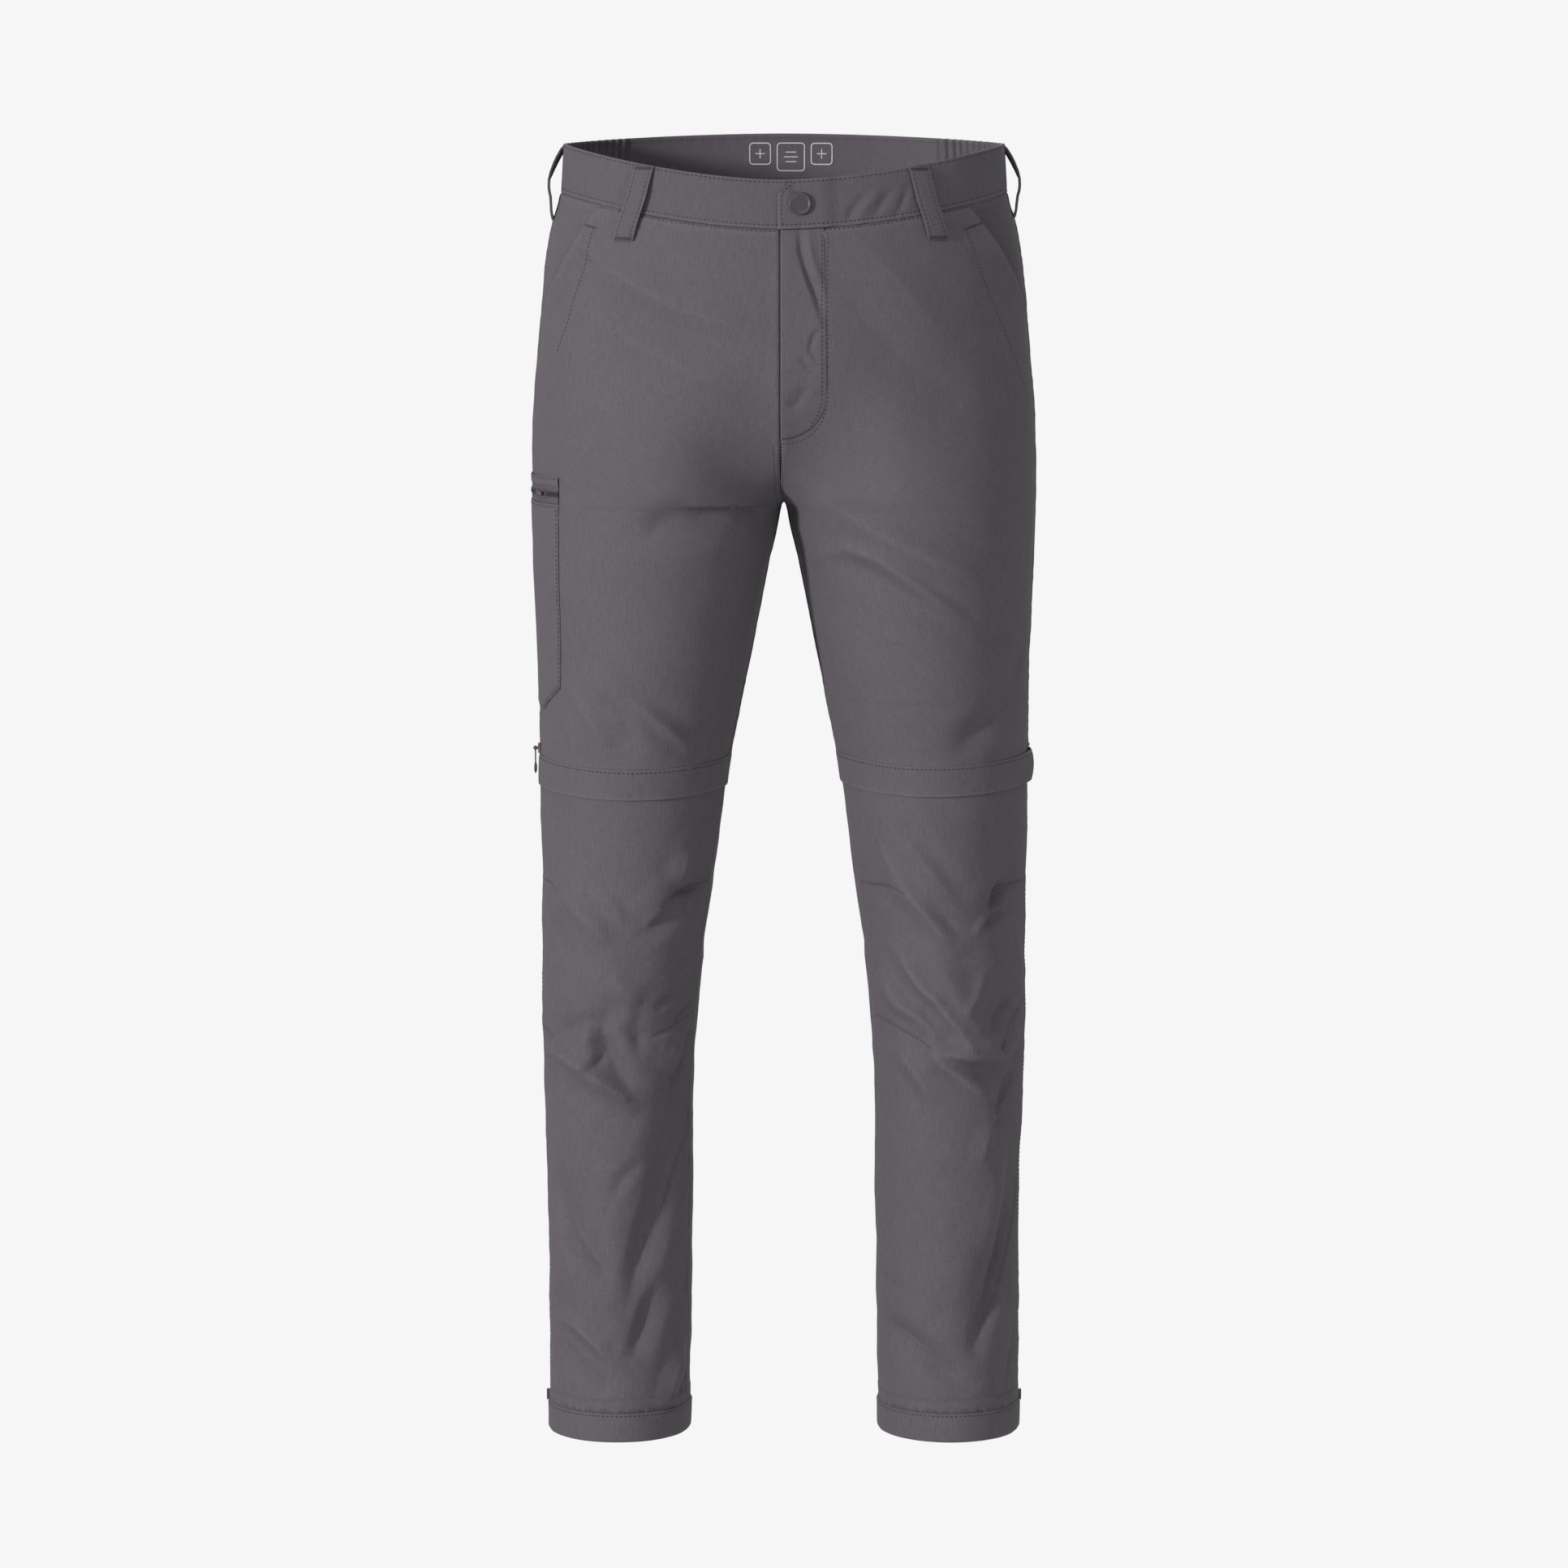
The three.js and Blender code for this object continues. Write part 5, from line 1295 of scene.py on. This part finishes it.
part = np.linspace(0, 1, 120)[:, None]
x = FLY_WIDTH * (1 - np.linspace(0, 1, 34)) ** 0.8
bottom = FLY_STRAIGHT - FLY_CURVE * np.sqrt(1 - np.clip(x / FLY_WIDTH, 0, 1) ** 2)
ways = np.broadcast_to(way_at(x, -120.0), (len(part), len(x)))
z = level_at(1, ways, mix(band_top(ways) - BAND_HEIGHT - SEAM, bottom, part))
lower = np.exp(-((1 - part) * 160 / 6.0))
out = mix(0.75, 1.5, bell(x, 0, 9.0)) * (1 - 0.5 * lower) - 0.45 * bell(x, FLY_WIDTH, 3.0)
out = out - 0.35 * bell(x, 3.2, 1.2) + 0.35 * puckers(-z, 350) * np.exp(-x / 14)
out = out + 0.4 * puckers(-z, 351) * bell(x, 31, 5.0)
points, normals = cloth_point(1, ways, z, out)
points = stay_on_side(points, 1, ways, z)
cloth_piece("fly_flap", "shell_cloth", "laid", points, normals, FLY_CLOTH,
            rests_on=["front_upper_left_cloth"], wear=0.6 * bell(x, 0, 1.6))

# %% [markdown]
# The thigh pocket.
# A patch with a slanted lower corner lies on the wearer's right thigh and wraps round the side. A
# zip closes its top, under a narrow welt. The zip is a moulded coil: from outside it is a dark
# ribbed line down the middle of a grey tape.

# %% Patch, tape with its ribbed coil, and welt
WIDE_LAY = 0.8
PATCH = {"front": 0.218, "back": -0.27, "top": -292.7, "corner": -444.0, "bottom": -464.0}
CORNER_WAY = 0.105
POCKET_LEVEL = -350.0
TAPE_CLOTH = 0.8
TAPE_TOP, TAPE_BOTTOM = -277.3, -292.4
WELT_TOP, WELT_BOTTOM = -271.0, -277.9
ZIP_MIDDLE = -284.8
COIL_PITCH = 1.5


def pocket_ways(columns):
    level = partial(np.full_like, fill_value=POCKET_LEVEL)
    return even_ways(-1, PATCH["front"], PATCH["back"], level, columns)


def patch_bottom(ways):
    """Height of the patch's lower edge, with its slanted corners."""
    corner = np.clip(np.minimum(PATCH["front"] - ways, ways - PATCH["back"]) / CORNER_WAY, 0, 1)
    return mix(PATCH["corner"], PATCH["bottom"], corner)


def strip(columns, top, bottom, rows):
    """Ways, lengths and heights of a level strip across the pocket."""
    return np.broadcast_arrays(*pocket_ways(columns), np.linspace(top, bottom, rows)[:, None])


def lay_on_thigh(node, slot, ways, z, out, thickness, **extra):
    points, normals = cloth_point(-1, ways, z, out)
    cloth_piece(node, slot, "laid", points, normals, thickness, **extra)


ways, run = pocket_ways(90)
z = mix(PATCH["top"], patch_bottom(ways), crowded(74, 0.4)[:, None])
ways, run, z = np.broadcast_arrays(ways, run, z)
from_edge = np.minimum(np.minimum(run, run[:, -1:] - run), (z - z[-1:]) * 0.92)
out = CLOTH + WIDE_LAY - 1.15 * bell(from_edge, 0, 2.0) + 0.4 * bell(from_edge, 6, 3.5)
out = out + 0.4 * puckers(z + run, 360) * np.exp(-from_edge / 8)
lay_on_thigh("thigh_pocket_right", "shell_cloth", ways, z, out, CLOTH,
             rests_on=["front_upper_right_cloth", "back_upper_right_cloth"],
             wear=0.5 * bell(from_edge, 1.5, 1.5))

ways, run, z = strip(600, TAPE_TOP, TAPE_BOTTOM, 15)
ribs = 0.65 + 0.35 * np.sign(z - ZIP_MIDDLE) * np.sin(2 * np.pi * run / COIL_PITCH)
out = TAPE_CLOTH + WIDE_LAY + 0.9 * bell(z, ZIP_MIDDLE, 2.1, 4) * ribs - 0.2
lay_on_thigh("thigh_zip_tape_right", "dark_trim", ways, z, out, TAPE_CLOTH,
             rests_on=["front_upper_right_cloth"], wear=-4.4 * bell(z, ZIP_MIDDLE, 2.4, 4))

ways, run, z = strip(90, WELT_TOP, WELT_BOTTOM, 12)
crown = 0.3 * np.sin(np.pi * (WELT_TOP - z) / (WELT_TOP - WELT_BOTTOM))
out = CLOTH + WIDE_LAY + crown + 0.15 * puckers(run, 370)
lay_on_thigh("thigh_zip_welt_right", "shell_cloth", ways, z, out, CLOTH,
             rests_on=["front_upper_right_cloth"], bevel=0.3)

# %% [markdown]
# The zip flaps.
# A flap covers the zip that takes each lower leg off. It is sewn down along its top and hangs free
# below, so its lower edge waves slightly and casts a thin shadow. Its ends stop short of each other
# at the side, where the slider sits, and the left one stands off there.

# %% Zip flaps
FLAP_TOP = -505.0
FLAP_BOTTOM = -530.0
FLAP_DIP = 5.0
FLAP_CLOTH = 0.8
FLAP_OUT = 0.95
FLAP_ENDS = {"right": (0.0, 0.5), "left": (-0.09, 4.0)}
FLAP_RAISE = {"right": 1.0, "left": 4.0}
HALF_GAP = 0.0165


def flap_dip(ways):
    return FLAP_DIP * np.sin(np.pi * np.clip(ways, 0, 1)) ** 2


part = crowded(16, 0.5)[:, None]
parts = crowded(230, 0.3)
down = part * (FLAP_TOP - FLAP_BOTTOM)
for name, side in SIDES.items():
    way_end, lift = FLAP_ENDS[name]
    level = mix(FLAP_TOP, FLAP_BOTTOM, part) + FLAP_RAISE[name]
    start = np.full_like(level, way_end + HALF_GAP)
    end = start + 2 - 2 * HALF_GAP
    ways, total = ways_along(side, start, end, partial(level_height, level), parts)
    run = parts * total
    bulge = lift * bell(ways, 0, 0.07) * np.sin(np.pi * (0.2 + 0.6 * part))
    sewn = -0.2 * bell(down, 2.4, 1.2) - 0.75 * np.exp(-down)
    loose = 0.4 * puckers(run, 380 + side) * part**2 + 0.25 * puckers(run, 384) * np.exp(-down / 5)
    points, normals = cloth_point(side, ways, level - flap_dip(ways),
                                  FLAP_OUT + bulge + sewn + loose)
    cloth_piece(f"zip_flap_{name}", "shell_cloth", "laid", points, normals, FLAP_CLOTH,
                rests_on=[f"front_upper_{name}_cloth", f"back_upper_{name}_cloth"],
                wear=bell(down, 24.5, 1.2), bevel=0.2)

# %% [markdown]
# The stitching.
# A stitch is a short thread that goes in at both ends, so it is made as a small pointed bead and
# repeated along a line. Each bead is set on the finished cloth, by finding the nearest place of the
# surface below it, and turned to lie along the line. A bead has only a few faces, because there are
# thousands.

# %% Stitch helpers
STITCH_LENGTH = 2.5
STITCH_PITCH = 3.7
STITCH_WIDTH = 1.2
STITCH_RISE = 0.30
SEARCH_FROM = 4.0
SEARCH_REACH = 9.0

depsgraph = bpy.context.evaluated_depsgraph_get()
trees = {name: BVHTree.FromObject(piece, depsgraph) for name, piece in surfaces.items()}


def on_front(xs, zs, steps=40):
    """Places on the cloth, with their outward directions, along a line seen from the front."""
    corners = np.stack([np.asarray(xs, float), np.asarray(zs, float)], axis=1)
    spans = lengths_along(corners, 0)
    run = np.linspace(0, spans[-1], max(int(spans[-1] / 2), steps))
    x, wanted = (np.interp(run, spans, values) for values in corners.T)
    side = np.where(x < 0, -1.0, 1.0)
    level = wanted.copy()
    for _ in range(30):
        way = way_at(np.abs(x), level)
        level = level + 0.5 * (wanted - form_point(side, way, level)[..., 2])
    return cloth_point(side, way, level)


def beads(count):
    """A mesh of many small pointed beads, all in one place."""
    shape = bmesh.new()
    bmesh.ops.create_uvsphere(
        shape, u_segments=5, v_segments=4, radius=1.0, matrix=Matrix.Rotation(math.pi / 2, 4, "Y"))
    bead = bpy.data.meshes.new("bead")
    shape.to_mesh(bead)
    shape.clear()
    shape.from_mesh(bead)
    bpy.data.meshes.remove(bead)
    shape.verts.ensure_lookup_table()
    shape.faces.ensure_lookup_table()
    one_verts, one_faces, made = len(shape.verts), len(shape.faces), 1
    while made < count:
        more = min(made, count - made)
        again = shape.verts[:more * one_verts] + shape.faces[:more * one_faces]
        bmesh.ops.duplicate(shape, geom=again)
        made += more
        shape.verts.ensure_lookup_table()
        shape.faces.ensure_lookup_table()
    return shape, one_verts


def stitch(onto, points, normals, spans, middle, length, width):
    """Where a stitch sits on the nearest cloth below it, and its half length, width and rise."""
    ends = (middle - length / 2, middle, middle + length / 2)
    first, here, last = (
        Vector([np.interp(s, spans, points[:, i]) for i in range(3)]) for s in ends)
    normal = Vector([np.interp(middle, spans, normals[:, i]) for i in range(3)])
    start = (here + normal.normalized() * SEARCH_FROM) * MM
    hits = [trees[piece].ray_cast(start, -normal, SEARCH_REACH * MM) for piece in onto]
    hits = [hit for hit in hits if hit[0] is not None]
    if not hits:
        return None
    place, out, _, _ = min(hits, key=itemgetter(3))
    along = ((last - first) - out * (last - first).dot(out)).normalized()
    across = out.cross(along)
    return place, along * length / 2 * MM, across * width / 2 * MM, out * STITCH_RISE * MM


def sew(name, lines, length=STITCH_LENGTH, pitch=STITCH_PITCH,
        width=STITCH_WIDTH):
    places = []
    for onto, (points, normals) in lines:
        onto = [onto] if isinstance(onto, str) else onto
        spans = lengths_along(points, 0)
        for middle in np.arange(pitch / 2, spans[-1], pitch):
            places.append(stitch(onto, points, normals, spans, middle, length, width))
    frames = np.array([place for place in places if place])
    shape, one = beads(len(frames))
    piece = new_object(name, shape, thread)
    local = vertex_places(piece.data).reshape(len(frames), one, 3)
    placed = frames[:, :1] + np.einsum("nvk,nkc->nvc", local, frames[:, 1:])
    piece.data.vertices.foreach_set("co", placed.ravel())
    piece.data.update()
    piece.data.shade_smooth()
    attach(piece, BODY)
    print(f"{name}: {len(frames)} stitches")


print("surfaces to sew on:", len(trees))

# %% Stitches of the hip: pocket mouths, fly and centre seams
sew("stitching_hip", [
    ("front_upper_left", on_front([147.6, 162.2, 177.5, 190.8, 199.5],
                                  [-66.8, -106.9, -143.1, -176.1, -202.5])),
    ("front_upper_right", on_front([-155.0, -166.0, -177.0, -186.0],
                                   [-66.0, -106.0, -143.0, -168.0])),
    ("fly_flap", on_front([33, 33, 32.2, 29, 22, 12, 1],
                          [-70, -199, -208, -219, -229, -235, -237])),
    ("front_upper_left", on_front([37.4, 37.4, 36.6, 33, 25, 13, 0],
                                  [-68, -200, -211, -223, -234, -240.5, -242])),
    ("fly_flap", on_front([-0.2, -0.2], [-70, -236])),
    ("front_upper_left", on_front([0.6, 1.8, 2.2], [-243, -270, -301])),
    ("front_upper_right", on_front([-6.0, -4.8, -4.2], [-243, -270, -301])),
])

# %% Stitches of the back: seat seam and side seams
back_lines = []
for name, side in SIDES.items():
    seat = np.linspace(-50, -300, 120)
    upper = np.linspace(-50, -500, 220)
    lower = np.linspace(-534, -1044, 240)
    back_lines += [
        (f"back_upper_{name}", cloth_point(side, np.full(120, 1.09), seat)),
        (f"back_upper_{name}", cloth_point(side, np.full(220, 1.952), upper)),
        (f"back_lower_{name}", cloth_point(side, 1.946 + side_way(lower), lower)),
    ]
sew("stitching_back", back_lines)

# %% Stitches of the waistband and the thigh pocket
BELOW_BAND = 41.8
BAND_FRONTS = ["waistband_front_right", "waistband_front_left"]


def along_band(onto, side, start, end, count, down):
    ways = np.linspace(start, end, count)
    return onto, cloth_point(side, ways, band_top(ways) - down)


band_lines = [("waistband_front_left",
               on_front([12.0, 3.0, 0.6, 0.8, 1.6], [-27.5, -35, -40, -52, -63]))]
for name, side in SIDES.items():
    for down in THREAD_ROWS:
        band_lines += [
            along_band(BAND_FRONTS, side, 0.004, 0.985, 160, down),
            along_band(f"waistband_elastic_{name}", side, 1.996, ELASTIC_END, 90, down),
            along_band("waistband_back", side, ELASTIC_END - 0.004, 1.005, 110, down),
        ]
    band_lines.append(along_band(f"front_upper_{name}", side, 0.10, 0.95, 130, BELOW_BAND))
sew("stitching_band", band_lines)

tall = np.linspace(-296, -443, 80)
low = np.linspace(PATCH["front"] - 0.006, PATCH["back"] + 0.006, 120)
wide = np.linspace(PATCH["front"] - 0.004, PATCH["back"] + 0.004, 120)
sew("stitching_pocket", [(onto, cloth_point(-1, ways, z)) for onto, ways, z in (
    ("thigh_pocket_right", np.full(80, low[0]), tall),
    ("thigh_pocket_right", np.full(80, low[-1]), tall),
    ("thigh_pocket_right", low, patch_bottom(low) + 2.0),
    ("thigh_pocket_right", wide, np.full(120, PATCH["top"] - 2.5)),
    ("thigh_zip_welt_right", wide, np.full(120, WELT_TOP - 1.6)),
)])

# %% Stitches of the zip flaps, knee darts and hems
leg_lines = []
for name, side in SIDES.items():
    first = FLAP_ENDS[name][0] + HALF_GAP
    ways = np.linspace(first + 0.004, first + 1.96, 260)
    z = FLAP_TOP + FLAP_RAISE[name] - 2.4 - flap_dip(ways)
    leg_lines.append((f"zip_flap_{name}", cloth_point(side, ways, z)))
    for path in DARTS[name]:
        xs, zs = zip(*path)
        leg_lines.append((f"front_lower_{name}", on_front(xs, np.array(zs) + 1.4)))
    ways = np.linspace(0.0, 2.0, 280)
    leg_lines.append((f"hem_{name}", cloth_point(side, ways, np.full(280, HEM_TOP - 1.0))))
sew("stitching_legs", leg_lines)

# %% Bar tacks and the rows along the belt loops
TACK_ROWS = (0.022, 0.036, 0.050, 0.955, 0.969, 0.983)
MOUTH_TACKS = [
    ("front_upper_left", (147.0, 162.5), (-67.0, -61.5)),
    ("front_upper_right", (-169.0, -152.0), (-62.0, -66.5)),
]


def lifted(points, normals, out):
    return points + normals * out, normals


loop_lines, tack_lines = [], []
for node, side, place, x_top, x_bottom, length, bow in LOOPS:
    v = np.linspace(0.02, 0.98, 60)
    middle, half = loop_middle(side, place, x_top, x_bottom, v)
    z = band_top(middle) - 1 - length * v
    for edge in (-0.68, 0.68):
        row = cloth_point(side, middle + edge * half, z)
        loop_lines.append((node, lifted(*row, loop_out(bow, v)[:, None])))
    for v in TACK_ROWS:
        middle, half = loop_middle(side, place, x_top, x_bottom, v)
        z = np.full(12, float(band_top(middle)) - 1 - length * v)
        row = cloth_point(side, middle + np.linspace(-0.85, 0.85, 12) * half, z)
        tack_lines.append((node, lifted(*row, 3.0)))
for node, xs, zs in MOUTH_TACKS:
    for step in (0.0, 1.1):
        tack_lines.append((node, on_front(xs, np.array(zs) - step, steps=12)))
sew("stitching_loops", loop_lines)
sew("bar_tacks", tack_lines, length=1.5, pitch=1.3, width=0.9)

# %% [markdown]
# The marks inside the waistband.
# Three small printed marks show inside the back of the band. Each is made as a plain outline with a
# simple generic sign. An outline is a flat square with bevelled corners, inset by the width of the
# line. Its middle is deleted, and the rest is laid on the band's inside.

# %% Printed marks
INK_LIFT = 0.35
INK_THICKNESS = 0.12
# middle, width, height, sign
MARKS = [(-20.1, -10.8, 18.4, 18.5, "cross"), (5.8, -13.5, 23.8, 24.0, "bars"),
         (31.7, -10.9, 18.4, 18.5, "cross")]
SIGNS = {
    "cross": [(0.0, 0.0, 8.0, 0.8), (0.0, 0.0, 0.8, 8.0)],
    "bars": [(0.0, 4.0, 9.0, 0.8), (0.0, 0.0, 12.0, 0.8), (0.0, -4.0, 9.0, 0.8)],
}


def flat_bar(shape, x, z, width, height, steps=6):
    place = Matrix.Translation((x, z, 0)) @ Matrix.Diagonal((width, height, 1, 1))
    return bmesh.ops.create_grid(
        shape, x_segments=steps, y_segments=1, size=0.5, matrix=place)["verts"]


def printed_mark(shape, x, z, width, height, sign):
    square = flat_bar(shape, x, z, width, height, steps=1)
    bmesh.ops.bevel(shape, geom=square, offset=3.2, offset_type="OFFSET", segments=5,
                    profile=0.5, affect="VERTICES", material=-1)
    face = max(shape.faces, key=bmesh.types.BMFace.calc_area)
    bmesh.ops.inset_region(shape, faces=[face], thickness=0.9, use_boundary=True)
    bmesh.ops.delete(shape, geom=[face], context="FACES_KEEP_BOUNDARY")
    for bar_x, bar_z, bar_width, bar_height in SIGNS[sign]:
        flat_bar(shape, x + bar_x, z + bar_z, bar_width, bar_height)


def inside_back(x, z):
    side, ways = across_back(x, z)
    part = (band_top(ways) - z) / BAND_HEIGHT
    lift = band_relief(part, x, 330) - BAND_CLOTH - INK_LIFT
    return cloth_point(side, ways, z, lift)[0]


marks = bmesh.new()
for mark in MARKS:
    one = bmesh.new()
    printed_mark(one, *mark)
    long_edges = [edge for edge in one.edges if edge.calc_length() > 4.0]
    bmesh.ops.subdivide_edges(one, edges=long_edges, cuts=5, use_grid_fill=True)
    flat = np.array([vert.co[:] for vert in one.verts])
    laid = inside_back(flat[:, 0], flat[:, 1]) * MM
    for vert, place in zip(one.verts, laid):
        vert.co = place
    part_mesh = bpy.data.meshes.new("one_mark")
    one.to_mesh(part_mesh)
    one.free()
    marks.from_mesh(part_mesh)
    bpy.data.meshes.remove(part_mesh)
printed = new_object("printed_marks", marks, ink)
thicken(printed, INK_THICKNESS, 0.0)
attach(printed, BODY)
print("printed marks:", len(printed.data.polygons), "faces")

# %% [markdown]
# The press stud.
# The cap is a turned shape: a rolled rim round a slightly hollow face. A profile is drawn with a few
# points and spun once round, then its doubled points are merged and its faces turned outwards.

# %% Press stud
STUD_X = 15.5
STUD_Z = -45.5
STUD_PROFILE = [(0.0, 2.9), (3.0, 2.86), (6.0, 2.78), (6.9, 2.84), (7.5, 3.2), (8.1, 3.4),
                (8.7, 3.3), (9.1, 2.9), (9.3, 2.2), (9.3, 1.0), (8.9, 0.3), (8.4, 0.0), (0.0, 0.0)]


def spun(profile, steps=64):
    shape = bmesh.new()
    points = [shape.verts.new((r, 0.0, h)) for r, h in profile]
    lines = [shape.edges.new(pair) for pair in zip(points, points[1:])]
    bmesh.ops.spin(shape, geom=points + lines, cent=(0, 0, 0), axis=(0, 0, 1),
                   angle=2 * math.pi, steps=steps, use_merge=True)
    bmesh.ops.remove_doubles(shape, verts=shape.verts, dist=1e-4)
    bmesh.ops.recalc_face_normals(shape, faces=shape.faces)
    return shape


def seat_matrix(point, normal):
    out = Vector(normal).normalized()
    up = (Vector((0, 0, 1)) - out * out.z).normalized()
    across = up.cross(out)
    turn = Matrix((across, up, out)).transposed().to_4x4()
    return Matrix.Translation(Vector(point) * MM) @ turn @ Matrix.Scale(MM, 4)


point, normal = cloth_point(1, float(way_at(STUD_X, BAND_LEVEL)), STUD_Z, TAB_OUT + SEAM)
stud_shape = spun(STUD_PROFILE)
bmesh.ops.transform(stud_shape, matrix=seat_matrix(point, normal), verts=stud_shape.verts)
stud = new_object("press_stud", stud_shape, moulded)
stud.data.shade_smooth()
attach(stud, BODY)
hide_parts("snap_button")
print("press stud:", len(stud.data.polygons), "faces")

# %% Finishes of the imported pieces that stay
METAL = ["thigh_zip_slider_right", "leg_zip_slider_right", "leg_zip_slider_left"]
MOULDED = ["thigh_zip_pull_right", "leg_zip_pull_right", "leg_zip_pull_left", "hem_tab_right",
           "hem_tab_left"]
for finish, nodes in ((gunmetal, METAL), (moulded, MOULDED)):
    for node in nodes:
        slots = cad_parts[node].data.materials
        slots.clear()
        slots.append(finish)
print("packed pieces with new finishes:", len(METAL) + len(MOULDED))
